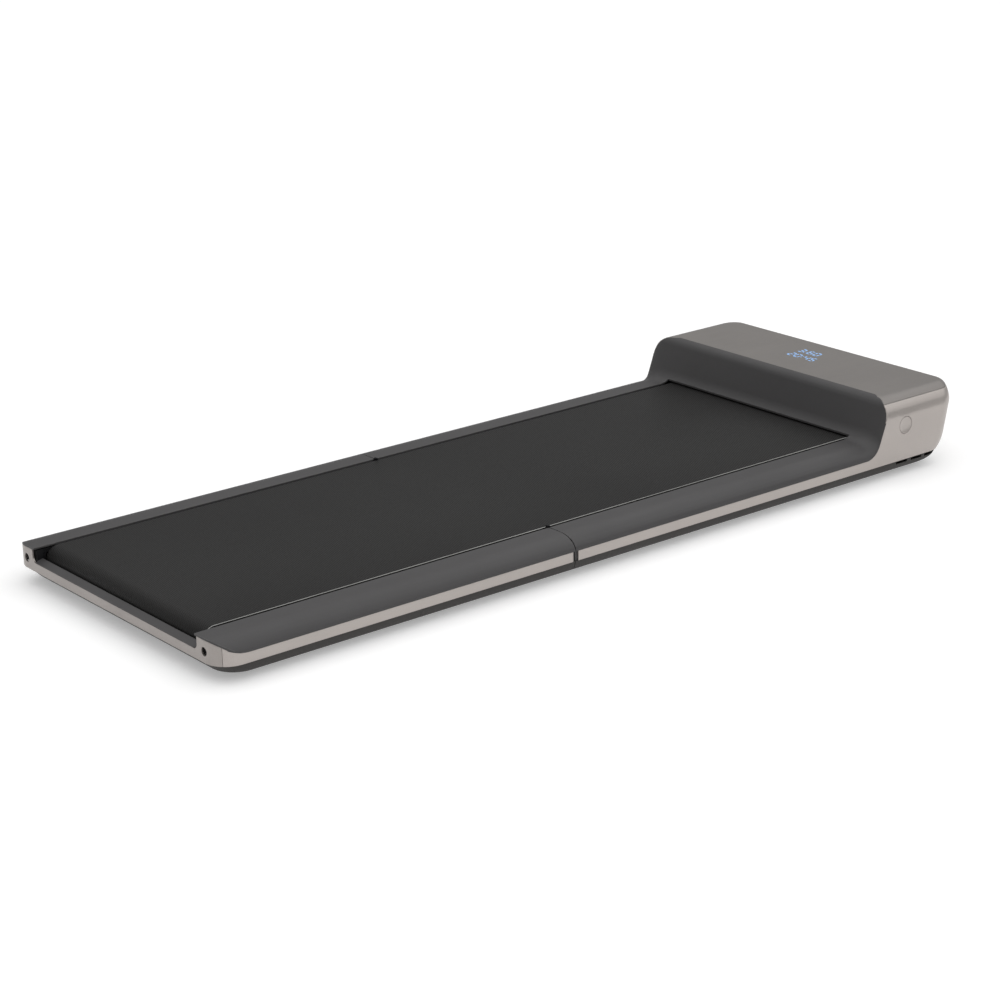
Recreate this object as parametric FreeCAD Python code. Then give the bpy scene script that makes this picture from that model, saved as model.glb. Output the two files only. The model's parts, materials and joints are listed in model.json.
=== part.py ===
import FreeCAD, Part
import math
import os

# Walking pad that folds in half, lying open on its feet.
# Millimetres, +Z up, +Y towards the head, +X to the walker's right.
# The origin is on the floor, under the middle of the whole pad.

V = FreeCAD.Vector

# Overall sizes
tail_length = 610.0
ramp_gap = 23.0
rail_width = 59.5
lid_clearance = 22.0
corner_radius = 36.0
fold_gap = 1.6
strip_gap = 10.0

# Walls, seams and clearances
skin = 3.0
seam = 0.4
running_gap = 0.3
shaft_clearance = 0.05
overshoot = 6.0

# Section of the side rails, from the floor up
foot_height = 10.0
tray_height = 17.0
band_height = 15.0
crown_height = 21.0
crown_width = 35.5
crown_steps = 6
inner_wall_height = 12.0
flange_thickness = 3.5

# Ramp and head
ramp_lean = 21.0
ramp_fillet = 30.0
ramp_round = 18.5
ramp_edge_drop = 4.0
lip_setback = 3.0
top_round = 34.0
front_round = 5.0
side_seam_drop = 8.0
rim_run = 11.5
rim_depth = 34.0
rim_thickness = 1.2
face_lean = 13.0
face_lean_drop = 24.0
face_turn_height = 25.0
face_turn_radius = 45.0
face_steps = 6

# Base trays
tray_step = 1.5
tray_curve_steps = 3
tray_side_sweep = 13.0
tray_front_sweep = 36.0
tray_rear_step = 3.0
tray_rear_sweep = 16.5
tray_seam_from_rear = 330.0
vent_starts = (117.0, 83.5, 53.5)
vent_widths = (26.5, 25.0, 23.5)
vent_height = 4.8
vent_drop = 1.4
belt_slot_height = 6.0

# Rear end plate and sill
plate_notch_overlap = 4.5
plate_notch_radius = 8.0
plate_lip_height = 14.0
tension_hole_radius = 6.25
tension_offset = 8.5
tension_bolt_radius = 4.0
corner_sweep_length = 51.0
corner_sweep_radius = 91.0
tension_head_radius = 5.5
sill_depth = 11.0
sill_cap = 0.8
sill_rise = 3.0

# Running belt, deck and rollers
belt_width = 415.0
belt_thickness = 2.0
belt_below_rail = 0.5
belt_fold_gap = 0.4
roller_radius = 17.0
roller_overhang = 3.0
roller_wall = 4.0
rear_roller_inset = 36.0
front_roller_setback = 38.0
axle_radius = 6.0
axle_overhang = 7.0
bearing_width = 12.0
deck_thickness = 14.0
deck_edge_inset = 0.5
deck_fold_gap = 6.0
deck_roller_gap = 6.0
cushion_width = 24.0
cushion_length = 60.0
cushion_height = 5.2

# Chassis
rail_tube_setback = 12.0
rail_tube_gap = 2.0
chassis_wall = 2.5
cross_width = 30.0
cross_belt_gap = 2.6
cross_count = 4
front_cross_first = 40.0
front_cross_last_gap = 50.0
tail_cross_first = 50.0
tail_cross_last_gap = 90.0
front_plate_gap = 3.5
rear_plate_gap = 10.5
plate_thickness = 6.0
plate_top_gap = 4.0
plate_length = 43.0
flange_plate_thickness = 4.0
boss_radius = 4.0
boss_setback = 4.5

# Hinge at the fold, in the gap between the belt and each rail
hinge_rise = 0.6
hinge_belt_gap = 0.6
hinge_rail_gap = 0.7
arm_thickness = 2.4
arm_gap = 0.4
arm_height = 9.0
arm_length = 40.0
arm_neck = 4.0
knuckle_radius = 2.2
pin_radius = 1.2
pin_overhang = 0.2
hinge_block_width = 10.0

# Drive in the head
motor_radius = 38.0
motor_length = 130.0
motor_wall = 4.0
motor_pulley_gap = 36.5
motor_roller_distance = 78.0
motor_from_end = 76.0
drive_arch_gap = 4.2
motor_shaft_radius = 5.0
rotor_radius = 30.0
rotor_end_gap = 10.0
fan_radius = 30.0
fan_width = 12.0
fan_gap = 4.0
fan_blades = 9
fan_blade_thickness = 2.0
fan_hub_radius = 11.0
motor_pulley_radius = 11.0
roller_pulley_radius = 26.0
pulley_width = 16.0
pulley_gap = 6.0
pulley_groove_depth = 1.2
pulley_grooves = 4
drive_belt_thickness = 3.0
drive_belt_width = 12.0
bracket_thickness = 4.0
saddle_width = 10.0
saddle_rise = 33.0

# Electronics in the head
board_thickness = 1.6
board_size_x = 150.0
board_size_y = 62.0
board_arch_gap = 8.5
board_from_end = 128.0
board_standoff = 17.0
standoff_radius = 4.0
standoff_inset = 7.0
capacitor_radius = 11.0
capacitor_height = 35.0
relay_size = 24.0
relay_height = 20.0
sink_length = 110.0
sink_depth = 22.0
sink_height = 34.0
sink_base = 4.0
sink_fins = 12
sink_fin_thickness = 2.0
display_board_x = 110.0
display_board_y = 66.0
display_from_end = 65.0
display_post_height = 5.4
display_post_radius = 3.0
display_row_widths = (70.0, 54.0)
display_row_depth = 20.0
display_row_step = 27.0

# Push button in the right side panel
button_radius = 14.0
button_ring_gap = 0.4
button_from_end = 126.0
button_height = 85.0
button_depth = 5.0
button_stem_radius = 5.0
button_stem_length = 9.0
button_travel = 2.0
button_cup_wall = 3.0
button_cup_depth = 13.0
button_switch_size = 12.0

# Power entry in the head's front panel
recess_side_inset = 81.5
recess_bottom = 46.0
recess_height = 40.0
recess_inset = 26.0
inlet_from_edge = 30.0
inlet_width = 28.0
inlet_height = 20.0
inlet_depth = 22.0
inlet_rim = 4.0
inlet_rim_thickness = 2.5
cavity_width = 24.0
cavity_height = 16.0
cavity_depth = 17.0
pin_blade_width = 2.0
pin_blade_height = 4.0
pin_blade_length = 9.0
pin_tail_length = 12.0
pin_pitch = 7.0
rocker_from_inlet = 42.0
rocker_from_edge = 24.0
rocker_width = 15.0
rocker_radius = 10.5
rocker_pivot_radius = 1.6
rocker_pivot_length = 1.5
rocker_tilt = 8.0
switch_rim = 4.0
switch_depth = 20.0
switch_wall = 2.0

# Transport wheels, feet, screws and leads
wheel_radius = 20.0
wheel_width = 22.0
wheel_inset = 58.5
wheel_from_end = 50.0
wheel_floor_gap = 4.0
wheel_gap = 3.0
wheel_axle_radius = 4.0
tyre_groove = 1.0
arch_wall = 2.5
foot_radius = 14.0
foot_inset = 21.0
foot_rows = 2
front_foot_first = 36.0
front_foot_last_gap = 132.0
tail_foot_first = 44.0
tail_foot_last_gap = 116.0
screw_radius = 2.0
screw_head_radius = 4.0
screw_head_height = 1.6
screw_belt_gap = 1.9
screw_inset = 24.0
screw_rows = 4
front_screw_first = 70.0
front_screw_last_gap = 172.0
tail_screw_first = 70.0
tail_screw_last_gap = 80.0
lead_radius = 2.2

# Places worked out from the sizes above
belt_gap = hinge_belt_gap + 2 * arm_thickness + arm_gap + hinge_rail_gap
overall_width = belt_width + 2 * (belt_gap + rail_width)
wheel_height = wheel_radius + wheel_floor_gap
arch_top = wheel_height + wheel_radius + wheel_gap
motor_height = (arch_top + arch_wall + drive_arch_gap + drive_belt_thickness + running_gap
                + motor_pulley_radius)
overall_height = motor_height + motor_radius + lid_clearance + skin
head_length = front_roller_setback - lip_setback + motor_roller_distance + motor_from_end
front_length = tail_length + ramp_gap + head_length
overall_length = front_length + tail_length
half_length = overall_length / 2
half_width = overall_width / 2
fold_y = tail_length - half_length
front_end_y = fold_y + fold_gap / 2
tail_end_y = fold_y - fold_gap / 2
tray_bottom = foot_height
tray_floor = tray_bottom + skin
band_bottom = tray_bottom + tray_height
band_top = band_bottom + band_height
rail_top = band_top + crown_height
crown_start = half_width - crown_width
opening_half = belt_width / 2 + belt_gap
side_inner_x = half_width - skin
lean = math.radians(ramp_lean)
ramp_turn = math.pi / 2 - lean
ramp_foot_y = half_length - head_length
lip_y = ramp_foot_y - lip_setback
cover_edge_y = (ramp_foot_y + (overall_height - rail_top) * math.tan(lean)
                + ramp_round * math.tan(ramp_turn / 2))
shoulder_z = overall_height - top_round
shoulder_x = half_width - top_round
side_seam_z = overall_height - side_seam_drop
face_lean_z = overall_height - face_lean_drop
face_turn_z = band_bottom + face_turn_height
belt_top = rail_top - belt_below_rail
wrap_radius = roller_radius + running_gap + belt_thickness
roller_z = belt_top - wrap_radius
rear_roller_y = rear_roller_inset - half_length
front_roller_y = lip_y + front_roller_setback
roller_half = belt_width / 2 + roller_overhang
roller_bore = roller_radius - roller_wall
deck_top = belt_top - belt_thickness - running_gap
deck_bottom = deck_top - deck_thickness
chassis_top = deck_bottom - cushion_height
cross_bottom = roller_z - wrap_radius + belt_thickness + cross_belt_gap
rail_tube_inner_x = opening_half + rail_tube_setback
rail_tube_outer_x = half_width - tray_step - skin - tray_side_sweep - rail_tube_gap
boss_x = rail_tube_inner_x + boss_setback
deck_half = belt_width / 2 - deck_edge_inset
hinge_z = rail_top + hinge_rise
front_arm_x = belt_width / 2 + hinge_belt_gap
tail_arm_x = front_arm_x + arm_thickness + arm_gap
arm_top = chassis_top + arm_height
motor_y = front_roller_y + motor_roller_distance
pulley_right_x = -(roller_half + pulley_gap)
motor_left_x = pulley_right_x + motor_pulley_gap
motor_right_x = motor_left_x + motor_length
pulley_left_x = pulley_right_x - pulley_width
pulley_middle_x = (pulley_left_x + pulley_right_x) / 2
front_plate_x = front_plate_gap - pulley_left_x
rear_plate_x = roller_half + rear_plate_gap
plate_top = rail_top - skin - plate_top_gap
tension_x = rear_plate_x + plate_thickness + tension_offset
plate_face_y = -half_length + skin
wheel_x = half_width - wheel_inset
wheel_y = half_length - wheel_from_end
foot_x = rail_tube_inner_x - foot_inset
screw_x = opening_half - screw_inset
screw_length = roller_z - wrap_radius - screw_belt_gap - tray_bottom
recess_width = inlet_from_edge + rocker_from_inlet + rocker_from_edge
recess_x = half_width - recess_side_inset - recess_width
inlet_x = recess_x + inlet_from_edge
inlet_z = recess_bottom + recess_height / 2
rocker_x = inlet_x + rocker_from_inlet
recess_floor_y = half_length - recess_inset
board_left_x = wheel_x - wheel_width / 2 - wheel_gap - arch_wall - board_arch_gap - board_size_x
board_y = half_length - board_from_end
board_z = tray_floor + board_standoff
board_top = board_z + board_thickness


def spread(first, last, count):
    """Evenly spaced distances from the fold line."""
    return [first + (last - first) * index / (count - 1) for index in range(count)]


front_cross_places = spread(front_cross_first, lip_y - fold_y - front_cross_last_gap, cross_count)
tail_cross_places = spread(tail_cross_first, tail_length - tail_cross_last_gap, cross_count)
front_foot_places = spread(front_foot_first, front_length - front_foot_last_gap, foot_rows)
tail_foot_places = spread(tail_foot_first, tail_length - tail_foot_last_gap, foot_rows)
front_screw_places = spread(front_screw_first, front_length - front_screw_last_gap, screw_rows)
tail_screw_places = spread(tail_screw_first, tail_length - tail_screw_last_gap, screw_rows)


# Basic solids

def box(x0, x1, y0, y1, z0, z1):
    return Part.makeBox(x1 - x0, y1 - y0, z1 - z0, V(x0, y0, z0))


def rod_x(x0, x1, y, z, radius):
    return Part.makeCylinder(radius, x1 - x0, V(x0, y, z), V(1, 0, 0))


def rod_y(y0, y1, x, z, radius):
    return Part.makeCylinder(radius, y1 - y0, V(x, y0, z), V(0, 1, 0))


def rod_z(z0, z1, x, y, radius):
    return Part.makeCylinder(radius, z1 - z0, V(x, y, z0), V(0, 0, 1))


def prism_x(points, x0, x1):
    """Solid with a straight-sided outline of (y, z) points, from x0 to x1."""
    corners = [V(x0, y, z) for y, z in points]
    wire = Part.makePolygon(corners + corners[:1])
    return Part.Face(wire).extrude(V(x1 - x0, 0, 0))


def prism_z(points, z0, z1):
    """Solid with a straight-sided outline of (x, y) points, from z0 to z1."""
    corners = [V(x, y, z0) for x, y in points]
    wire = Part.makePolygon(corners + corners[:1])
    return Part.Face(wire).extrude(V(0, 0, z1 - z0))


def mirrored(shape):
    return shape.mirror(V(0, 0, 0), V(1, 0, 0))


def pair(shape):
    return [shape, mirrored(shape)]


def joined(shapes):
    return shapes[0].fuse(shapes[1:])


def without(shape, tools):
    return shape.cut(tools)


def tube_along(points, radius, bend):
    """Round tube along straight runs joined by arcs that touch them."""
    corners = [V(*point) for point in points]
    edges = []
    start = corners[0]
    for before, corner, after in zip(corners, corners[1:], corners[2:]):
        into = (corner - before).normalize()
        out = (after - corner).normalize()
        turn = into.getAngle(out)
        reach = bend * math.tan(turn / 2)
        arc_start = corner - into * reach
        arc_end = corner + out * reach
        inward = (out - into).normalize()
        middle = corner + inward * (bend / math.cos(turn / 2) - bend)
        edges.append(Part.LineSegment(start, arc_start).toShape())
        edges.append(Part.Arc(arc_start, middle, arc_end).toShape())
        start = arc_end
    edges.append(Part.LineSegment(start, corners[-1]).toShape())
    path = Part.Wire(edges)
    ring = Part.Wire(Part.makeCircle(radius, corners[0], corners[1] - corners[0]))
    return path.makePipeShell([ring], True, False)


def export(name, shape):
    shape.exportStep("parts/" + name + ".step")


# Outer surfaces shared by the covers

def crown_points(wall):
    """Points (x, z) of the crowned rail from its flat top to its side, wall deep inside."""
    points = []
    for step in range(crown_steps + 1):
        angle = math.pi / 2 * step / crown_steps
        x = crown_start + (crown_width - wall) * math.sin(angle)
        z = band_top + (crown_height - wall) * math.cos(angle)
        points.append((x, z))
    return points


def ramp_wire(x, rail_z, setback, wall):
    """Closed outline in the plane x: rail, hollow, ramp, crest and top, wall deep inside."""
    top_z = overall_height - wall
    hollow = ramp_fillet + wall
    crest = ramp_round - wall
    foot = ramp_foot_y + (rail_z + wall - rail_top) * math.tan(lean) + setback
    foot = foot + wall / math.cos(lean) - wall * math.tan(lean)
    hollow_run = hollow * math.tan(ramp_turn / 2)
    crest_run = crest * math.tan(ramp_turn / 2)
    top_y = foot + (top_z - rail_z) * math.tan(lean)
    low_angle = ramp_turn / 2 - math.pi / 2
    high_angle = ramp_turn / 2 + math.pi / 2
    hollow_y = foot - hollow_run
    crest_y = top_y + crest_run
    start = V(x, fold_y - overshoot, rail_z)
    hollow_start = V(x, hollow_y, rail_z)
    hollow_middle = V(x, hollow_y + hollow * math.cos(low_angle),
                      rail_z + hollow + hollow * math.sin(low_angle))
    hollow_end = V(x, foot + hollow_run * math.cos(ramp_turn), rail_z + hollow_run * math.sin(ramp_turn))
    crest_start = V(x, top_y - crest_run * math.cos(ramp_turn), top_z - crest_run * math.sin(ramp_turn))
    crest_middle = V(x, crest_y + crest * math.cos(high_angle),
                     top_z - crest + crest * math.sin(high_angle))
    crest_end = V(x, crest_y, top_z)
    far_top = V(x, half_length + overshoot, top_z)
    far_low = V(x, half_length + overshoot, -overshoot)
    near_low = V(x, fold_y - overshoot, -overshoot)
    edges = [
        Part.LineSegment(start, hollow_start).toShape(),
        Part.Arc(hollow_start, hollow_middle, hollow_end).toShape(),
        Part.LineSegment(hollow_end, crest_start).toShape(),
        Part.Arc(crest_start, crest_middle, crest_end).toShape(),
        Part.LineSegment(crest_end, far_top).toShape(),
        Part.LineSegment(far_top, far_low).toShape(),
        Part.LineSegment(far_low, near_low).toShape(),
        Part.LineSegment(near_low, start).toShape(),
    ]
    return Part.Wire(edges)


def front_mass(wall):
    """Everything under the front half's upper surface, wall deep inside."""
    middle = Part.Face(ramp_wire(-crown_start, rail_top - wall, 0, wall))
    middle = middle.extrude(V(2 * crown_start, 0, 0))
    wires = []
    for x, z in crown_points(wall):
        setback = ramp_edge_drop * (1 - (z - band_top) / (crown_height - wall))
        wires.append(ramp_wire(x, z, setback, wall))
    crown = Part.makeLoft(wires, True, False)
    edge = Part.Face(wires[-1]).extrude(V(overshoot + wall, 0, 0))
    side = crown.fuse(edge)
    return joined([middle] + pair(side))


def tail_mass(wall):
    """Everything under the tail's upper surface, wall deep inside."""
    points = [V(x, -half_length - overshoot, z) for x, z in crown_points(wall)]
    y = points[0].y
    right = Part.BSplineCurve()
    right.interpolate(Points=points, InitialTangent=V(1, 0, 0), FinalTangent=V(0, 0, -1))
    left_points = [V(-point.x, y, point.z) for point in points]
    left = Part.BSplineCurve()
    left.interpolate(Points=left_points, InitialTangent=V(-1, 0, 0), FinalTangent=V(0, 0, -1))
    far_x = half_width + overshoot
    corners = [points[-1], V(far_x, y, band_top), V(far_x, y, -overshoot)]
    corners = corners + [V(-far_x, y, -overshoot), V(-far_x, y, band_top), left_points[-1]]
    edges = [right.toShape(), left.toShape()]
    edges.append(Part.LineSegment(left_points[0], points[0]).toShape())
    for start, end in zip(corners, corners[1:]):
        edges.append(Part.LineSegment(start, end).toShape())
    outline = Part.Wire(Part.sortEdges(edges)[0])
    return Part.Face(outline).extrude(V(0, tail_length + 2 * overshoot, 0))


def outline_wire(z, half, square_y, round_y, radius):
    """Plan outline at height z: square at one end, rounded corners at the other."""
    way = math.copysign(1, round_y - square_y)
    corner_y = round_y - way * radius
    slant = radius * math.sqrt(0.5)
    edges = [Part.LineSegment(V(-half, square_y, z), V(half, square_y, z)).toShape()]
    edges.append(Part.LineSegment(V(half, square_y, z), V(half, corner_y, z)).toShape())
    middle = V(half - radius + slant, corner_y + way * slant, z)
    edges.append(Part.Arc(V(half, corner_y, z), middle, V(half - radius, round_y, z)).toShape())
    edges.append(Part.LineSegment(V(half - radius, round_y, z), V(radius - half, round_y, z)).toShape())
    middle = V(radius - half - slant, corner_y + way * slant, z)
    edges.append(Part.Arc(V(radius - half, round_y, z), middle, V(-half, corner_y, z)).toShape())
    edges.append(Part.LineSegment(V(-half, corner_y, z), V(-half, square_y, z)).toShape())
    return Part.Wire(edges)


def front_face_y(z):
    """Where the head's front face stands at height z: upright, leaning back, then turning under."""
    tilt = math.radians(face_lean)
    if z >= face_lean_z:
        return half_length
    if z >= face_turn_z:
        return half_length - (face_lean_z - z) * math.tan(tilt)
    turn_y = half_length - (face_lean_z - face_turn_z) * math.tan(tilt)
    slope = math.sin(tilt) + (face_turn_z - z) / face_turn_radius
    return turn_y - face_turn_radius * (math.cos(tilt) - math.sqrt(1 - slope * slope))


# Front edge of the flat inside the front tray
tray_flat_y = front_face_y(band_bottom) - tray_step - skin - tray_front_sweep


def edge_inset(z, top, radius):
    """How far a rounded upper edge has drawn in at height z."""
    rise = max(z - (top - radius), 0)
    return radius - math.sqrt(max(radius * radius - rise * rise, 0))


def head_mass(wall, square_y):
    """Front half inside its upright walls, from the band's lower edge to the top, wall deep inside."""
    low_z = band_bottom - wall
    walls = []
    for step in range(face_steps + 1):
        z = low_z + (shoulder_z - low_z) * step / face_steps
        face_y = front_face_y(max(z, band_bottom)) - wall
        walls.append(outline_wire(z, half_width - wall, square_y, face_y, corner_radius - wall))
    shoulder = []
    side_radius = top_round - wall
    for step in range(face_steps + 1):
        angle = math.pi / 2 * step / face_steps
        z = shoulder_z + side_radius * math.sin(angle)
        inset = side_radius * (1 - math.cos(angle))
        front_inset = edge_inset(z, overall_height - wall, front_round - wall)
        face_y = front_face_y(z) - wall - front_inset
        radius = corner_radius - wall - (inset + front_inset) / 2
        shoulder.append(outline_wire(z, half_width - wall - inset, square_y, face_y, radius))
    lower = Part.makeLoft(walls, True, False)
    upper = Part.makeLoft(shoulder, True, False)
    return lower.fuse(upper)


def tail_walls(wall, square_y):
    """Tail inside its upright walls, wall deep inside."""
    wire = outline_wire(band_bottom - wall, half_width - wall, square_y, wall - half_length,
                        corner_radius - wall)
    return Part.Face(wire).extrude(V(0, 0, overall_height))


def tray_mass(wall, square_y, front):
    """Base tray, curving in towards its bottom, wall deep inside."""
    wires = []
    depth = tray_height - wall
    for step in range(tray_curve_steps + 1):
        angle = math.pi / 2 * step / tray_curve_steps
        z = band_bottom - depth * math.sin(angle)
        half = half_width - tray_step - wall - tray_side_sweep * (1 - math.cos(angle))
        if front:
            inset = tray_step + wall + tray_front_sweep * (1 - math.cos(angle))
            end_y = front_face_y(band_bottom) - inset
        else:
            inset = tray_rear_step + wall + tray_rear_sweep * math.sin(angle)
            end_y = inset - half_length
        wires.append(outline_wire(z, half, square_y, end_y, corner_radius - wall))
    wires.reverse()
    return Part.makeLoft(wires, True, False)


def corner_wedge(sign, shift):
    """Plan region between the two corner seams at one end, moved outward by shift."""
    corner_x = half_width - corner_radius
    corner_y = sign * (half_length - corner_radius + shift)
    reach = 3 * corner_radius
    points = [(-corner_x, corner_y), (corner_x, corner_y)]
    points.append((corner_x + reach, corner_y + sign * reach))
    points.append((-corner_x - reach, corner_y + sign * reach))
    return prism_z(points, -overshoot, overall_height + overshoot)


def side_rim_zone():
    """Zone on the right below the line where the ramp's surface meets the head's side."""
    far = overall_length
    start_y = ramp_foot_y - 2 * ramp_fillet
    outline = ramp_wire(shoulder_x, band_top, ramp_edge_drop, 0)
    side_line = Part.Face(outline).extrude(V(far, 0, 0))
    return side_line.common(box(0, far, start_y, far, -far, overall_height - rim_depth))


def shoulder_rim_zone():
    """Zone round the right shoulder where a lip of the shell comes out flush with the ramp's surface."""
    far = half_width + overshoot
    start_y = ramp_foot_y - 2 * ramp_fillet
    crest_reach = math.sqrt(ramp_round ** 2 - (ramp_round - rim_thickness) ** 2)
    points = [(shoulder_x - rim_run, cover_edge_y + overshoot), (shoulder_x - rim_run, cover_edge_y)]
    points.extend([(shoulder_x, cover_edge_y - crest_reach), (shoulder_x, start_y)])
    points.extend([(far, start_y), (far, cover_edge_y + overshoot)])
    return prism_z(points, overall_height - rim_depth, overall_height + overshoot)


# Pieces of the rails that both halves share

def rail_fittings(y0, y1, end_y, boss_places, mass):
    """Inner wall, strip flange, end wall and screw bosses under one rail cover."""
    inner = box(opening_half, opening_half + skin, y0, y1,
                rail_top - inner_wall_height, rail_top - skin / 2)
    flange = box(side_inner_x - flange_thickness, side_inner_x, y0, y1, band_bottom, rail_top)
    way = math.copysign(1, (y0 + y1) / 2 - end_y)
    wall_ys = sorted([end_y, end_y + way * skin])
    end_wall = box(opening_half, side_inner_x, wall_ys[0], wall_ys[1], band_bottom, rail_top)
    solids = [inner, flange.common(mass), end_wall.common(mass)]
    for y in boss_places:
        solids.append(rod_z(chassis_top, rail_top - skin / 2, boss_x, y, boss_radius))
    return solids


def hinge_arm(sign, x, bore):
    """Arm beside the belt that carries half of the hinge at the fold; sign gives the side in Y."""
    near, far = sorted([fold_y + sign * fold_gap / 2, fold_y + sign * arm_length])
    neck = sorted([fold_y + sign * fold_gap / 2, fold_y + sign * arm_neck])
    solids = [box(x, x + arm_thickness, near, far, chassis_top, arm_top)]
    solids.append(box(x, x + arm_thickness, neck[0], neck[1], chassis_top, belt_top))
    solids.append(rod_x(x, x + arm_thickness, fold_y, hinge_z, knuckle_radius))
    hole = rod_x(x - overshoot, x + arm_thickness + overshoot, fold_y, hinge_z, bore)
    return joined(solids).cut(hole)


def chassis_frame(end_y, far_y, cross_places, sign, arm_x, plates):
    """Two rail tubes, cross tubes, hinge blocks and roller plates welded into one frame."""
    y0, y1 = sorted([end_y, far_y])
    rails = pair(box(rail_tube_inner_x, rail_tube_outer_x, y0, y1, tray_floor, chassis_top))
    hollows = pair(box(rail_tube_inner_x + chassis_wall, rail_tube_outer_x - chassis_wall,
                       y0 - overshoot, y1 + overshoot,
                       tray_floor + chassis_wall, chassis_top - chassis_wall))
    reach = rail_tube_inner_x + chassis_wall
    tubes = [without(joined(rails), hollows)]
    channels = []
    for place in cross_places:
        y = fold_y + sign * place
        tubes.append(box(-rail_tube_inner_x, rail_tube_inner_x, y - cross_width / 2, y + cross_width / 2,
                         cross_bottom, chassis_top))
        channels.append(box(-reach, reach, y - cross_width / 2 + chassis_wall,
                            y + cross_width / 2 - chassis_wall, cross_bottom + chassis_wall,
                            chassis_top - chassis_wall))
    block_ys = sorted([end_y, fold_y + sign * arm_length])
    blocks = pair(box(arm_x + arm_thickness, rail_tube_inner_x + hinge_block_width,
                      block_ys[0], block_ys[1], chassis_top, arm_top))
    return without(joined(tubes + blocks + plates), channels)


def belt_half(end_y, roller_y):
    """Half of the running belt: upper run, turn round its roller and lower run."""
    way = math.copysign(1, end_y - roller_y)
    half = belt_width / 2
    inner_radius = wrap_radius - belt_thickness
    outer_ys = sorted([end_y, roller_y])
    inner_ys = sorted([end_y + way * overshoot, roller_y])
    outer = box(-half, half, outer_ys[0], outer_ys[1], roller_z - wrap_radius, roller_z + wrap_radius)
    outer = outer.fuse(rod_x(-half, half, roller_y, roller_z, wrap_radius))
    inner = box(-half - overshoot, half + overshoot, inner_ys[0], inner_ys[1],
                roller_z - inner_radius, roller_z + inner_radius)
    inner = inner.fuse(rod_x(-half - overshoot, half + overshoot, roller_y, roller_z, inner_radius))
    return outer.cut(inner).removeSplitter()


def deck_cushions(cross_places, sign):
    """Rubber pads between the cross tubes and the deck, three on each tube."""
    pads = []
    step = deck_half - cushion_length / 2 - cushion_width
    for place in cross_places:
        y = fold_y + sign * place
        for x in (-step, 0, step):
            pads.append(box(x - cushion_length / 2, x + cushion_length / 2, y - cushion_width / 2,
                            y + cushion_width / 2, chassis_top, deck_bottom))
    return Part.makeCompound(pads)


def roller_bearings(y):
    ring = rod_x(roller_half - bearing_width, roller_half, y, roller_z, roller_bore - shaft_clearance)
    ring = ring.cut(rod_x(0, roller_half + overshoot, y, roller_z, axle_radius))
    return Part.makeCompound(pair(ring))


def tray_screws(places, sign):
    """Pan-head screws that hold a base tray to the cross of bosses on its floor."""
    screws = []
    for place in places:
        y = fold_y + sign * place
        head = rod_z(tray_bottom - screw_head_height, tray_bottom, screw_x, y, screw_head_radius)
        screw = head.fuse(rod_z(tray_bottom, tray_bottom + screw_length, screw_x, y, screw_radius))
        screws.extend(pair(screw))
    return screws


def tray_bosses(places, sign):
    bosses = []
    for place in places:
        y = fold_y + sign * place
        boss = rod_z(tray_floor, tray_bottom + screw_length, screw_x, y, 2 * screw_radius)
        bosses.extend(pair(boss))
    return bosses


def rubber_feet(places, sign):
    feet = []
    for place in places:
        foot = rod_z(0, foot_height, foot_x, fold_y + sign * place, foot_radius)
        feet.extend(pair(foot))
    return Part.makeCompound(feet)


# Front half: covers and panels

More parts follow.
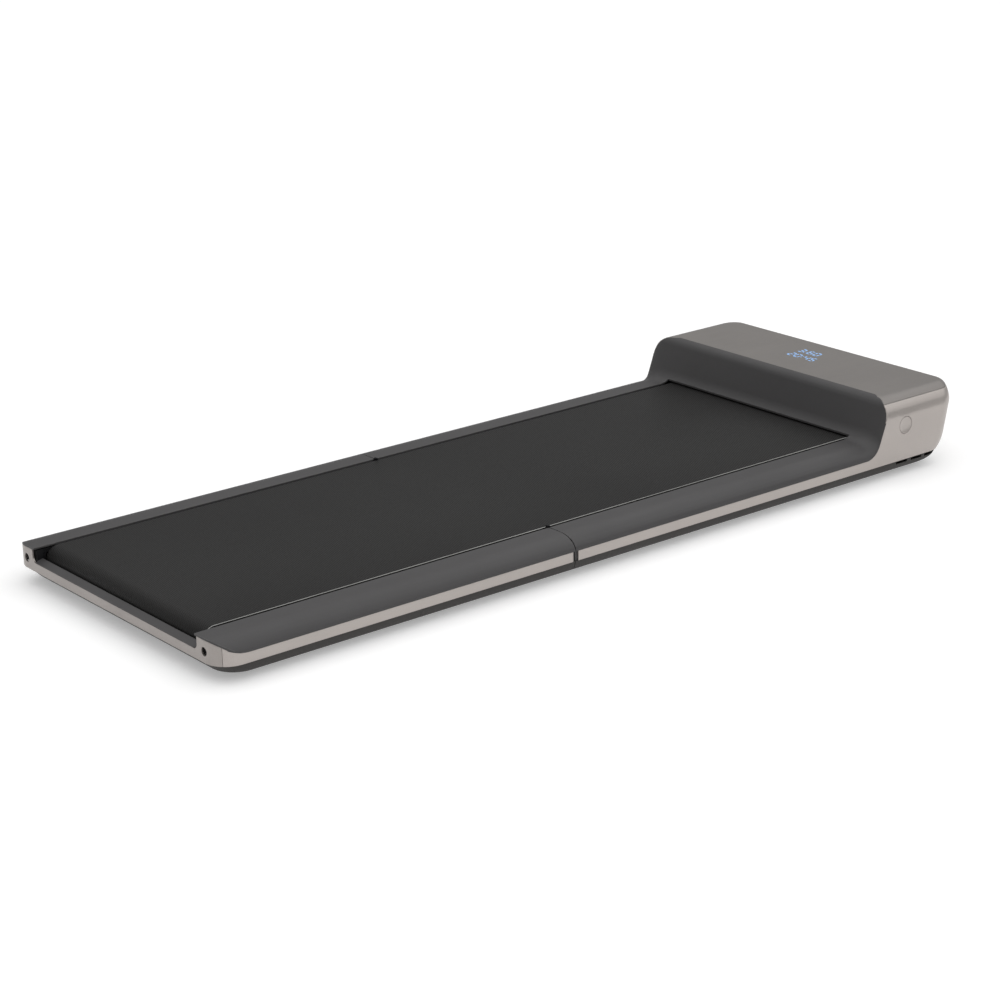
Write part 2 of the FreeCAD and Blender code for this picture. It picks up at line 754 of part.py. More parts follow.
def build_front_covers():
    upper = front_mass(0)
    under = front_mass(skin)
    walls = head_mass(0, front_end_y)
    hollow = head_mass(skin, front_end_y - overshoot)
    shell = walls.cut(hollow)
    far = overall_length

    trim = upper.cut(under).common(walls)
    behind = box(-far, far, cover_edge_y - seam / 2, far, -far, far)
    opening = box(-opening_half, opening_half, fold_y - overshoot, lip_y, -far, far)
    trim = without(trim, [behind, opening])
    inside_lip = head_mass(rim_thickness, front_end_y - overshoot)
    side_rim = shell.common(side_rim_zone()).common(upper)
    lip = walls.cut(inside_lip).common(shoulder_rim_zone()).common(upper)
    for zone in pair(side_rim_zone().cut(hollow)) + pair(shoulder_rim_zone().cut(inside_lip)):
        trim = trim.cut(zone)
    boss_places = [fold_y + place for place in front_cross_places[1:3]]
    fittings = rail_fittings(front_end_y, ramp_foot_y - 2 * ramp_fillet, front_end_y, boss_places, upper)
    for solid in fittings:
        trim = joined([trim] + pair(solid))
    export("front_trim", trim)

    lid = shell.common(box(-far, far, cover_edge_y + seam / 2, far, side_seam_z + seam / 2, far))
    lid_corner = lip.common(box(-far, far, -far, far, side_seam_z + seam / 2, far))
    posts = []
    post_x = display_board_x / 2 - standoff_inset
    post_y = display_board_y / 2 - standoff_inset
    display_y = half_length - display_from_end
    lid_under = overall_height - skin
    for x in (-post_x, post_x):
        for y in (display_y - post_y, display_y + post_y):
            posts.append(rod_z(lid_under - display_post_height, lid_under + skin / 2, x, y,
                               display_post_radius))
    export("head_top_cover", joined([lid] + pair(lid_corner) + posts))

    low_half = box(-far, far, -far, far, -far, side_seam_z - seam / 2)
    below = shell.common(low_half)
    side_zone = box(0, far, fold_y + strip_gap / 2, far, -far, far)
    side = below.common(under).common(side_zone)
    side = joined([side, side_rim, lip.common(low_half)]).cut(corner_wedge(1, -seam))
    button_y = half_length - button_from_end
    hole = rod_x(0, far, button_y, button_height, button_radius + button_ring_gap)
    export("front_side_panel_right", side.cut(hole))
    export("front_side_panel_left", mirrored(side))

    face = below.common(corner_wedge(1, 0))
    right = recess_x + recess_width
    top = recess_bottom + recess_height
    tub = box(recess_x - skin, right + skin, recess_floor_y - skin, far, recess_bottom - skin, top + skin)
    pocket = box(recess_x, right, recess_floor_y, far, recess_bottom, top)
    inlet_hole = box(inlet_x - inlet_width / 2, inlet_x + inlet_width / 2, 0, far,
                     inlet_z - inlet_height / 2, inlet_z + inlet_height / 2)
    switch_half_x = rocker_width / 2 + switch_wall + running_gap
    switch_half_z = rocker_radius + switch_wall + running_gap
    switch_hole = box(rocker_x - switch_half_x, rocker_x + switch_half_x, 0, far,
                      inlet_z - switch_half_z, inlet_z + switch_half_z)
    face = face.fuse(tub.common(walls))
    export("head_front_panel", without(face, [pocket, inlet_hole, switch_hole]))


def build_front_tray():
    tray = tray_mass(0, front_end_y, True).cut(tray_mass(skin, front_end_y + skin, True))
    far = overall_length
    cuts = [box(-far, far, -far, far, band_bottom - seam, far)]
    cuts.append(box(-opening_half, opening_half, fold_y, fold_y + 2 * skin + fold_gap,
                    band_bottom - belt_slot_height, far))
    for start, width in zip(vent_starts, vent_widths):
        y = half_length - start - width
        top = band_bottom - vent_drop
        cuts.extend(pair(box(half_width / 2, half_width, y, y + width, top - vent_height, top)))
    side_x = wheel_x + wheel_width / 2 + wheel_gap
    inner_x = wheel_x - wheel_width / 2 - wheel_gap
    arch_back = wheel_y - wheel_radius - wheel_gap
    arch_front = wheel_y + wheel_axle_radius + wheel_gap
    arch = box(inner_x - arch_wall, side_x + arch_wall, arch_back - arch_wall, arch_front, tray_bottom,
               arch_top + arch_wall)
    wells = pair(box(inner_x, side_x, arch_back, far, -far, arch_top))
    bores = pair(rod_x(inner_x - 2 * arch_wall, side_x + 2 * arch_wall, wheel_y, wheel_height,
                       wheel_axle_radius))
    tray = without(tray, cuts)
    tray = joined([tray] + pair(arch) + tray_bosses(front_screw_places, 1))
    screws = tray_screws(front_screw_places, 1)
    export("front_base_tray", without(tray, wells + bores + screws))
    export("front_tray_screws", Part.makeCompound(screws))

    axle = rod_x(inner_x - arch_wall, side_x + arch_wall, wheel_y, wheel_height, wheel_axle_radius)
    export("wheel_axles", Part.makeCompound(pair(axle)))
    wheel = rod_x(wheel_x - wheel_width / 2, wheel_x + wheel_width / 2, wheel_y, wheel_height, wheel_radius)
    bore = rod_x(0, half_width, wheel_y, wheel_height, wheel_axle_radius + shaft_clearance)
    groove = rod_x(wheel_x - tyre_groove, wheel_x + tyre_groove, wheel_y, wheel_height,
                   wheel_radius + overshoot)
    groove = groove.cut(rod_x(0, half_width, wheel_y, wheel_height, wheel_radius - tyre_groove))
    wheel = without(wheel, [bore, groove])
    export("transport_wheel_right", wheel)
    export("transport_wheel_left", mirrored(wheel))
    export("front_feet", rubber_feet(front_foot_places, 1))


# Front half: frame, deck and belt

def build_front_frame():
    rail_end_y = lip_y
    plate = box(front_plate_x, front_plate_x + plate_thickness, rail_end_y - plate_length,
                front_roller_y + 2 * axle_radius, tray_floor, plate_top)
    axle_half = front_plate_x + plate_thickness + axle_overhang
    axle = rod_x(-axle_half, axle_half, front_roller_y, roller_z, axle_radius)
    frame = chassis_frame(front_end_y + skin, rail_end_y, front_cross_places, 1, front_arm_x, pair(plate))
    export("front_chassis", frame.cut(axle))
    export("front_roller_axle", axle)
    export("front_roller_bearings", roller_bearings(front_roller_y))

    deck_far = front_roller_y - wrap_radius - deck_roller_gap
    board = box(-deck_half, deck_half, fold_y + deck_fold_gap, deck_far, deck_bottom, deck_top)
    export("front_deck_board", board)
    export("front_deck_cushions", deck_cushions(front_cross_places, 1))
    export("running_belt_front", belt_half(fold_y + belt_fold_gap / 2, front_roller_y))

    tube = rod_x(-roller_half, roller_half, front_roller_y, roller_z, roller_radius)
    sleeve = rod_x(pulley_left_x, -roller_half, front_roller_y, roller_z, roller_radius - roller_wall / 2)
    bore = rod_x(-half_width, half_width, front_roller_y, roller_z, roller_bore)
    export("front_roller", tube.fuse(sleeve).cut(bore))


# Tail half

def build_tail_covers():
    upper = tail_mass(0)
    under = tail_mass(skin)
    walls = tail_walls(0, tail_end_y)
    far = overall_length
    sweep_y = corner_sweep_length - half_length
    sweep = box(crown_start, far, -far, sweep_y, band_bottom, band_top + crown_height / 2)
    sweep = sweep.cut(rod_x(crown_start, far, sweep_y, band_top + corner_sweep_radius, corner_sweep_radius))
    below = joined([under] + pair(sweep))
    cover = upper.cut(below).common(walls)
    cover = cover.common(box(opening_half, far, -far, far, -far, far))
    boss_places = [fold_y - place for place in tail_cross_places[1:3]]
    fittings = rail_fittings(plate_face_y + corner_radius, tail_end_y, tail_end_y, boss_places, upper)
    cover = joined([cover] + fittings)
    export("tail_rail_cover_right", cover)
    export("tail_rail_cover_left", mirrored(cover))

    band = walls.cut(tail_walls(skin, tail_end_y + overshoot)).common(below).common(upper)
    band = band.common(box(-far, far, -far, far, band_bottom, far))
    strip_zone = box(0, far, -far, fold_y - strip_gap / 2, -far, far)
    strip = band.common(strip_zone).cut(corner_wedge(-1, -seam))
    export("tail_side_strip_right", strip)
    export("tail_side_strip_left", mirrored(strip))

    lip_z = band_bottom + plate_lip_height
    notch_half = opening_half + plate_notch_overlap
    notch = box(-notch_half, notch_half, -far, 0, lip_z, far)
    low_edges = [edge for edge in notch.Edges if abs(edge.CenterOfMass.z - lip_z) < seam
                 and abs(abs(edge.CenterOfMass.x) - notch_half) < seam]
    notch = notch.makeFillet(plate_notch_radius, low_edges)
    holes = pair(rod_y(-far, 0, tension_x, roller_z, tension_hole_radius))
    plate = band.common(corner_wedge(-1, 0))
    export("rear_end_plate", without(plate, [notch] + holes))

    sill_y = plate_face_y + sill_depth
    cap_z = lip_z + sill_cap
    cap_half = notch_half - plate_notch_radius
    points = [(plate_face_y, band_bottom), (plate_face_y, cap_z), (sill_y, cap_z + sill_rise)]
    points.append((sill_y, band_bottom))
    cap = box(-cap_half, cap_half, -half_length, plate_face_y, lip_z, cap_z)
    export("rear_sill", prism_x(points, -opening_half, opening_half).fuse(cap))


def build_tail_trays():
    tray = tray_mass(0, tail_end_y, False).cut(tray_mass(skin, tail_end_y - skin, False))
    far = overall_length
    cuts = [box(-far, far, -far, far, band_bottom - seam, far)]
    cuts.append(box(-opening_half, opening_half, fold_y - 2 * skin - fold_gap, fold_y,
                    band_bottom - belt_slot_height, far))
    screws = tray_screws(tail_screw_places, -1)
    tray = without(tray, cuts)
    tray = without(joined([tray] + tray_bosses(tail_screw_places, -1)), screws)
    seam_y = tray_seam_from_rear - half_length
    export("tail_tray_rear", tray.common(box(-far, far, -far, seam_y - seam / 2, -far, far)))
    export("tail_tray_front", tray.common(box(-far, far, seam_y + seam / 2, far, -far, far)))
    export("tail_tray_screws", Part.makeCompound(screws))
    export("tail_feet", rubber_feet(tail_foot_places, -1))


def build_tail_frame():
    rail_end_y = rear_roller_y + 2 * wrap_radius
    flange_y = plate_face_y + 2 * skin
    flange_back = flange_y + flange_plate_thickness
    plate = box(rear_plate_x, rear_plate_x + plate_thickness, flange_y, rail_end_y + plate_length,
                band_bottom, plate_top)
    flange_half = 2 * tension_hole_radius
    flange = box(rear_plate_x, tension_x + flange_half, flange_y, flange_back,
                 roller_z - flange_half, roller_z + flange_half)
    slot_reach = 2 * axle_radius
    slot = box(0, half_width, rear_roller_y - slot_reach, rear_roller_y + slot_reach,
               roller_z - axle_radius, roller_z + axle_radius)
    slot = slot.common(box(rear_plate_x - skin, rear_plate_x + plate_thickness, -half_length, 0,
                           0, rail_top))
    axle_half = tension_x + axle_overhang
    axle = rod_x(-axle_half, axle_half, rear_roller_y, roller_z, axle_radius)
    bolt_end_y = rear_roller_y + 2 * axle_radius
    shank = rod_y(flange_y, bolt_end_y, tension_x, roller_z, tension_bolt_radius)
    head = rod_y(plate_face_y, flange_y, tension_x, roller_z, tension_head_radius)
    socket = rod_y(plate_face_y, plate_face_y + skin, tension_x, roller_z, tension_head_radius / 2)
    bolt = head.fuse(shank).cut(socket)
    plates = pair(plate.fuse(flange))
    frame = chassis_frame(tail_end_y - skin, rail_end_y, tail_cross_places, -1, tail_arm_x, plates)
    frame = without(frame, pair(slot) + pair(shank))
    export("tail_chassis", frame)
    export("rear_roller_axle", without(axle, pair(shank)))
    export("tension_bolts", Part.makeCompound(pair(bolt)))
    export("rear_roller_bearings", roller_bearings(rear_roller_y))
    roller = rod_x(-roller_half, roller_half, rear_roller_y, roller_z, roller_radius)
    bore = rod_x(-half_width, half_width, rear_roller_y, roller_z, roller_bore)
    export("rear_roller", roller.cut(bore))

    deck_far = rear_roller_y + wrap_radius + deck_roller_gap
    board = box(-deck_half, deck_half, deck_far, fold_y - deck_fold_gap, deck_bottom, deck_top)
    export("tail_deck_board", board)
    export("tail_deck_cushions", deck_cushions(tail_cross_places, -1))
    export("running_belt_tail", belt_half(fold_y - belt_fold_gap / 2, rear_roller_y))


def build_hinges():
    front = hinge_arm(1, front_arm_x, pin_radius)
    tail = hinge_arm(-1, tail_arm_x, pin_radius + shaft_clearance)
    pin = rod_x(front_arm_x - pin_overhang, tail_arm_x + arm_thickness + pin_overhang, fold_y, hinge_z,
                pin_radius)
    export("hinge_arms_front", Part.makeCompound(pair(front)))
    export("hinge_arms_tail", Part.makeCompound(pair(tail)))
    export("hinge_pins", Part.makeCompound(pair(pin)))


# Drive

def loop_solid(x0, x1, y1, z1, radius1, y2, z2, radius2):
    """Solid inside a belt line drawn round two circles, from x0 to x1."""
    distance = math.hypot(y2 - y1, z2 - z1)
    heading = math.atan2(z2 - z1, y2 - y1)
    spread = math.acos((radius1 - radius2) / distance)

    def on_circle(y, z, radius, angle):
        return V(x0, y + radius * math.cos(angle), z + radius * math.sin(angle))

    upper1 = on_circle(y1, z1, radius1, heading + spread)
    back1 = on_circle(y1, z1, radius1, heading + math.pi)
    lower1 = on_circle(y1, z1, radius1, heading - spread)
    upper2 = on_circle(y2, z2, radius2, heading + spread)
    front2 = on_circle(y2, z2, radius2, heading)
    lower2 = on_circle(y2, z2, radius2, heading - spread)
    edges = [Part.Arc(upper1, back1, lower1).toShape(), Part.LineSegment(lower1, lower2).toShape()]
    edges.extend([Part.Arc(lower2, front2, upper2).toShape(), Part.LineSegment(upper2, upper1).toShape()])
    return Part.Face(Part.Wire(edges)).extrude(V(x1 - x0, 0, 0))


def grooved_pulley(y, z, radius, bore):
    """Ribbed pulley on the drive belt's line."""
    pulley = rod_x(pulley_left_x, pulley_right_x, y, z, radius)
    pitch = drive_belt_width / pulley_grooves
    cuts = [rod_x(pulley_left_x - overshoot, pulley_right_x + overshoot, y, z, bore)]
    for index in range(pulley_grooves):
        x = pulley_middle_x + (index - (pulley_grooves - 1) / 2) * pitch
        ring = rod_x(x - pitch / 4, x + pitch / 4, y, z, radius + overshoot)
        cuts.append(ring.cut(rod_x(x - pitch, x + pitch, y, z, radius - pulley_groove_depth)))
    return without(pulley, cuts)


def build_drive():
    sleeve_radius = roller_radius - roller_wall / 2
    export("roller_pulley", grooved_pulley(front_roller_y, roller_z, roller_pulley_radius, sleeve_radius))
    export("motor_pulley", grooved_pulley(motor_y, motor_height, motor_pulley_radius, motor_shaft_radius))
    x0 = pulley_middle_x - drive_belt_width / 2
    x1 = pulley_middle_x + drive_belt_width / 2
    large = roller_pulley_radius + running_gap
    small = motor_pulley_radius + running_gap
    outer = loop_solid(x0, x1, front_roller_y, roller_z, large + drive_belt_thickness,
                       motor_y, motor_height, small + drive_belt_thickness)
    inner = loop_solid(x0 - overshoot, x1 + overshoot, front_roller_y, roller_z, large,
                       motor_y, motor_height, small)
    export("drive_belt", outer.cut(inner))

    can = rod_x(motor_left_x, motor_right_x, motor_y, motor_height, motor_radius)
    room = rod_x(motor_left_x + motor_wall, motor_right_x - motor_wall, motor_y, motor_height,
                 motor_radius - motor_wall)
    shaft_hole = rod_x(motor_left_x - overshoot, motor_right_x + overshoot, motor_y, motor_height,
                       motor_shaft_radius + shaft_clearance)
    export("motor_housing", without(can, [room, shaft_hole]))
    shaft_end = motor_right_x + fan_gap + fan_width
    shaft = rod_x(pulley_left_x, shaft_end, motor_y, motor_height, motor_shaft_radius)
    armature = rod_x(motor_left_x + motor_wall + rotor_end_gap, motor_right_x - motor_wall - rotor_end_gap,
                     motor_y, motor_height, rotor_radius)
    export("motor_rotor", armature.fuse(shaft))

    fan_x = motor_right_x + fan_gap
    hub = rod_x(fan_x, fan_x + fan_width, motor_y, motor_height, fan_hub_radius)
    blades = []
    for index in range(fan_blades):
        blade = box(fan_x, fan_x + fan_width, motor_y - fan_blade_thickness / 2,
                    motor_y + fan_blade_thickness / 2, motor_height, motor_height + fan_radius)
        blade.rotate(V(fan_x, motor_y, motor_height), V(1, 0, 0), 360 * index / fan_blades)
        blades.append(blade)
    bore = rod_x(fan_x, fan_x + fan_width, motor_y, motor_height, motor_shaft_radius)
    export("motor_fan", joined([hub] + blades).cut(bore))

    base_top = tray_floor + bracket_thickness
    half_y = motor_radius - 2 * bracket_thickness
    base = box(motor_left_x, motor_right_x, motor_y - half_y, tray_flat_y, tray_floor, base_top)
    saddles = []
    for x in (motor_left_x + saddle_width, motor_right_x - 2 * saddle_width):
        saddles.append(box(x, x + saddle_width, motor_y - half_y, motor_y + half_y,
                           base_top, base_top + saddle_rise))
    export("motor_bracket", joined([base] + saddles).cut(can))


# Electronics, button and power entry

def build_electronics():
    x1 = board_left_x + board_size_x
    y1 = board_y + board_size_y
    board = box(board_left_x, x1, board_y, y1, board_z, board_top)
    posts = []
    for x in (board_left_x + standoff_inset, x1 - standoff_inset):
        for y in (board_y + standoff_inset, y1 - standoff_inset):
            posts.append(rod_z(tray_floor, board_z, x, y, standoff_radius))
    export("control_board", joined([board] + posts))

    items = []
    item_y = board_y + board_size_y - 2 * capacitor_radius
    item_x = board_left_x + 2 * capacitor_radius
    for index in range(2):
        x = item_x + index * 3 * capacitor_radius
        items.append(rod_z(board_top, board_top + capacitor_height, x, item_y, capacitor_radius))
    relay_x = item_x + 6 * capacitor_radius
    items.append(box(relay_x, relay_x + relay_size, item_y - relay_size / 2, item_y + relay_size / 2,
                     board_top, board_top + relay_height))
    export("control_components", Part.makeCompound(items))

    sink_x = board_left_x + (board_size_x - sink_length) / 2
    sink_y = board_y + standoff_inset / 2
    sink = [box(sink_x, sink_x + sink_length, sink_y, sink_y + sink_depth,
                board_top, board_top + sink_base)]
    pitch = (sink_length - sink_fin_thickness) / (sink_fins - 1)
    for index in range(sink_fins):
        x = sink_x + index * pitch
        sink.append(box(x, x + sink_fin_thickness, sink_y, sink_y + sink_depth,
                        board_top, board_top + sink_height))
    export("heat_sink", joined(sink))

    display_y = half_length - display_from_end
    display_top = overall_height - skin - display_post_height
    board = box(-display_board_x / 2, display_board_x / 2, display_y - display_board_y / 2,
                display_y + display_board_y / 2, display_top - board_thickness, display_top)
    export("display_board", board)
    rows = []
    for index, width in enumerate(display_row_widths):
        y = display_y - display_row_step / 2 + index * display_row_step
        rows.append(box(-width / 2, width / 2, y - display_row_depth / 2, y + display_row_depth / 2,
                        display_top, overall_height - skin))
    export("display_modules", Part.makeCompound(rows))


def build_button():
    y = half_length - button_from_end
    face_x = half_width
    back_x = face_x - button_depth
    cup_x = side_inner_x - button_cup_depth
    stem_x = back_x - button_stem_length
    cap = rod_x(back_x, face_x, y, button_height, button_radius)
    stem = rod_x(stem_x, back_x, y, button_height, button_stem_radius)
    export("side_button", cap.fuse(stem))
    cup_radius = button_radius + button_ring_gap
    cup = rod_x(cup_x, side_inner_x, y, button_height, cup_radius + button_cup_wall)
    cup = cup.common(head_mass(skin, front_end_y))
    room = rod_x(cup_x + button_cup_wall, side_inner_x, y, button_height, cup_radius)
    guide = rod_x(cup_x, side_inner_x, y, button_height, button_stem_radius + shaft_clearance)
    export("button_housing", without(cup, [room, guide]))
    half = button_switch_size / 2
    switch = box(cup_x - button_switch_size, cup_x, y - half, y + half,
                 button_height - half, button_height + half)
    well = rod_x(stem_x - button_travel - running_gap, cup_x, y, button_height,
                 button_stem_radius + shaft_clearance)
    export("button_switch", switch.cut(well))


def build_power_entry():
    half_x = inlet_width / 2
    half_z = inlet_height / 2
    back_y = recess_floor_y - inlet_depth
    front_y = recess_floor_y + inlet_rim_thickness
    body = box(inlet_x - half_x, inlet_x + half_x, back_y, recess_floor_y,
               inlet_z - half_z, inlet_z + half_z)
    rim = box(inlet_x - half_x - inlet_rim, inlet_x + half_x + inlet_rim, recess_floor_y, front_y,
              inlet_z - half_z - inlet_rim, inlet_z + half_z + inlet_rim)
    floor_y = front_y - cavity_depth
    cavity = box(inlet_x - cavity_width / 2, inlet_x + cavity_width / 2, floor_y, front_y,
                 inlet_z - cavity_height / 2, inlet_z + cavity_height / 2)
    pins = []
    for offset, rise in ((-pin_pitch, -pin_blade_height / 2), (0, pin_blade_height / 2),
                         (pin_pitch, -pin_blade_height / 2)):
        x = inlet_x + offset
        z = inlet_z + rise
        pins.append(box(x - pin_blade_width / 2, x + pin_blade_width / 2, floor_y - pin_tail_length,
                        floor_y + pin_blade_length, z - pin_blade_height / 2, z + pin_blade_height / 2))
    export("power_inlet", without(body.fuse(rim), [cavity] + pins))
    export("inlet_pins", Part.makeCompound(pins))

    opening_x = rocker_width / 2 + running_gap
    opening_z = rocker_radius + running_gap
    outer_x = opening_x + switch_wall
    outer_z = opening_z + switch_wall
    back_y = recess_floor_y - switch_depth
    frame = box(rocker_x - outer_x, rocker_x + outer_x, back_y, recess_floor_y,
                inlet_z - outer_z, inlet_z + outer_z)
    rim = box(rocker_x - opening_x - switch_rim, rocker_x + opening_x + switch_rim, recess_floor_y, front_y,
              inlet_z - opening_z - switch_rim, inlet_z + opening_z + switch_rim)
    room = box(rocker_x - opening_x, rocker_x + opening_x, back_y + switch_wall, front_y,
               inlet_z - opening_z, inlet_z + opening_z)
    pivot_reach = opening_x + rocker_pivot_length
    sockets = rod_x(rocker_x - pivot_reach, rocker_x + pivot_reach, recess_floor_y, inlet_z,
                    rocker_pivot_radius + shaft_clearance)
    export("switch_frame", without(frame.fuse(rim), [room, sockets]))

    rocker = rod_x(rocker_x - rocker_width / 2, rocker_x + rocker_width / 2, recess_floor_y, inlet_z,
                   rocker_radius)
    crest = 2 * inlet_rim_thickness
    tip = math.sqrt(rocker_radius ** 2 - crest ** 2)
    low = -rocker_radius / 2
    points = [(low, -rocker_radius), (crest, -rocker_radius), (crest, -tip), (inlet_rim_thickness / 2, 0)]
    points.extend([(crest, tip), (crest, rocker_radius), (low, rocker_radius)])
    outline = [(recess_floor_y + y, inlet_z + z) for y, z in points]
    rocker = rocker.common(prism_x(outline, rocker_x - rocker_width, rocker_x + rocker_width))
    pivot = rod_x(rocker_x - pivot_reach + running_gap, rocker_x + pivot_reach - running_gap,
                  recess_floor_y, inlet_z, rocker_pivot_radius)
    rocker = rocker.fuse(pivot)
    rocker.rotate(V(rocker_x, recess_floor_y, inlet_z), V(1, 0, 0), rocker_tilt)
    export("power_rocker", rocker)

    pin_back_y = front_y - cavity_depth - pin_tail_length
    lead_x = inlet_x
    lead_z = inlet_z + pin_blade_height / 2
    bend = 3 * lead_radius
    drop_y = board_y + board_size_y - standoff_inset
    route = [(lead_x, pin_back_y, lead_z), (lead_x, drop_y, lead_z), (lead_x, drop_y, board_top)]
    export("inlet_lead", tube_along(route, lead_radius, bend))
    aside = (fan_radius + 2 * lead_radius) * math.sqrt(0.5)
    route = [(motor_right_x, motor_y - aside, motor_height + aside)]
    turn_x = board_left_x + standoff_inset
    route.append((turn_x, route[0][1], route[0][2]))
    route.append((turn_x, route[0][1], board_top))
    export("motor_lead", tube_along(route, lead_radius, bend))


os.makedirs("parts", exist_ok=True)
build_front_covers()
build_front_tray()
build_front_frame()
build_tail_covers()
build_tail_trays()
build_tail_frame()
build_hinges()
build_drive()
build_electronics()
build_button()
build_power_entry()
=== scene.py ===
import json
import math

import bmesh
import bpy
from bpy.props import FloatProperty, FloatVectorProperty, IntProperty, PointerProperty, StringProperty
from bpy.types import Operator, Panel, PropertyGroup
from mathutils import Matrix, Vector
from mathutils.bvhtree import BVHTree


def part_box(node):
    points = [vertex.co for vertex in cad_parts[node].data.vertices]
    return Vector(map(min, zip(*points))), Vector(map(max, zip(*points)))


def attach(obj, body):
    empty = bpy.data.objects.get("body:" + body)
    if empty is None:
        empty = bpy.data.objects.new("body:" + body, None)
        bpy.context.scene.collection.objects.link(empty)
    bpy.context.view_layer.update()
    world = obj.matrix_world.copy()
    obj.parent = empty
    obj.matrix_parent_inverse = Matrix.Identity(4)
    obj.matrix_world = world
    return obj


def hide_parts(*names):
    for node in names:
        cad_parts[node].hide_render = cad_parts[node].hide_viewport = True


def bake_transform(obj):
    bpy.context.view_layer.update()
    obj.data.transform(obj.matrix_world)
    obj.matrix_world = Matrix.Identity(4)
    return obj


bl_info = {
    "name": "Walking pad looks",
    "version": (1, 0, 0),
    "blender": (4, 5, 0),
    "location": "3D View > Sidebar > Walking pad",
    "description": "Dresses a folding walking pad and sets its studio stage",
    "category": "Object",
}

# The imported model, and the places that the looks take from it
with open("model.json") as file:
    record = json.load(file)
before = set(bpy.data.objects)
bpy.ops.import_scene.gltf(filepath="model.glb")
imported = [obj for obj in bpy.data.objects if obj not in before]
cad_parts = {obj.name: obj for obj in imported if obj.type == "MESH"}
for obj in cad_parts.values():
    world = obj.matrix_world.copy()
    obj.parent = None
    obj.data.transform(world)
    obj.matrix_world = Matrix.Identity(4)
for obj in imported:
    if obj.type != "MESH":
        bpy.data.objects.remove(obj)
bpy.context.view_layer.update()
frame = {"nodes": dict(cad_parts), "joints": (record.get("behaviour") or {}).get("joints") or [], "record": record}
joints = {joint["name"]: joint for joint in frame["joints"]}
fold_place = Vector(joints["tail_fold"]["pos_m"])
front_roller_place = Vector(joints["front_roller_spin"]["pos_m"])
rear_roller_place = Vector(joints["rear_roller_spin"]["pos_m"])
rocker_place = Vector(joints["rocker_tilt"]["pos_m"])
slots = {part["node"]: part["material_slot"] for part in frame["record"]["subparts"]}
MM = 0.001


# Settings that a user would change

def colour_setting(name, description, default):
    return FloatVectorProperty(name=name, description=description, subtype="COLOR", size=3, min=0.0, max=1.0,
                               default=default)


def length_setting(name, description, default):
    return FloatProperty(name=name, description=description, subtype="DISTANCE", unit="LENGTH", min=0.0,
                         precision=5, default=default)


def number_setting(name, description, default):
    return FloatProperty(name=name, description=description, default=default)


def text_setting(name, description, default):
    return StringProperty(name=name, description=description, default=default)


class PadColours(PropertyGroup):
    """Base colours of the finishes, linear"""
    rail: colour_setting("Rails", "Dark moulding of the rails and the ramp", (0.066, 0.064, 0.065))
    panel: colour_setting("Panels", "Warm grey side panels and strips", (0.45, 0.412, 0.388))
    # The cover is the panels' paint set darker: painted shade on the head's flat top
    cover: colour_setting("Top cover", "Satin warm grey cover of the head", (0.237, 0.220, 0.208))
    # The rear plate is the panels' paint set a shade darker: painted shade on the end that faces away from the
    # light
    plate: colour_setting("Rear plate", "Warm grey plate at the tail's end", (0.355, 0.325, 0.306))
    base: colour_setting("Base", "Dark trays under the pad", (0.054, 0.051, 0.049))
    belt: colour_setting("Belt", "Upper face of the running belt", (0.021, 0.0205, 0.020))
    belt_edge: colour_setting("Belt edge", "Cut edge of the running belt", (0.32, 0.32, 0.31))
    glow: colour_setting("Display", "Light of the display's digits", (0.28, 0.53, 0.95))


class PadSizes(PropertyGroup):
    """Sizes of the details that the looks add"""
    edge_round: length_setting("Edge round", "Radius of the moulded edges", 0.5 * MM)
    weave_pitch: length_setting("Weave pitch", "Width of one diamond of the belt's tread", 4.2 * MM)
    fold_stretch: length_setting("Fold stretch", "Length of belt that bends when the pad folds", 10.0 * MM)
    digit_height: length_setting("Digit height", "Height of the display's digits", 15.0 * MM)
    digit_stroke: length_setting("Digit stroke", "Width of one lit segment", 1.9 * MM)
    dish_depth: length_setting("Button dish", "Depth of the push button's hollow face", 2.0 * MM)
    near_row: text_setting("Near row", "Figures in the display's near row", "20:45")
    far_row: text_setting("Far row", "Figures in the display's far row", "3.60")


class StageSettings(PropertyGroup):
    """Camera and light"""
    azimuth: number_setting("Azimuth", "Camera's turn round the pad, in degrees", 51.290)
    elevation: number_setting("Elevation", "Camera's height angle, in degrees", 19.272)
    roll: number_setting("Roll", "Camera's roll, in degrees", -1.090)
    distance: length_setting("Distance", "From the aim to the camera", 3.8861)
    aim_height: length_setting("Aim height", "Height of the point that the camera turns round", 0.040)
    shift_right: number_setting("Right", "Camera's move to its right, in metres", -0.01954)
    shift_up: number_setting("Up", "Camera's move upwards, in metres", -0.01451)
    lens: number_setting("Lens", "Focal length in millimetres", 90.436)
    sky: number_setting("Sky", "Strength of the white surroundings", 0.50)
    key: number_setting("Key", "Strength of the soft light from overhead", 1.5)
    side: number_setting("Side", "Power of the lamp beside the camera, in watts", 6.0)


# Short words for node trees

def feed(tree, node, inputs):
    """Links each input to a socket, or sets it to a value."""
    for key, value in inputs.items():
        if isinstance(value, bpy.types.NodeSocket):
            tree.links.new(value, node.inputs[key])
        else:
            node.inputs[key].default_value = value


def add(tree, kind, inputs=None, **settings):
    """Adds a node with its options and inputs."""
    node = tree.nodes.new(kind)
    for key, value in settings.items():
        setattr(node, key, value)
    feed(tree, node, inputs or {})
    return node


def maths(tree, operation, first, second=0.0, third=0.0):
    node = add(tree, "ShaderNodeMath", {0: first, 1: second, 2: third}, operation=operation)
    return node.outputs[0]


def blend_colour(tree, kind, factor, first, second):
    node = add(tree, "ShaderNodeMix", {0: factor, 6: first, 7: second}, data_type="RGBA", blend_type=kind)
    return node.outputs[2]


def noise(tree, vector, scale, detail=2.0, roughness=0.5):
    inputs = {"Vector": vector, "Scale": scale, "Detail": detail, "Roughness": roughness}
    return add(tree, "ShaderNodeTexNoise", inputs).outputs[0]


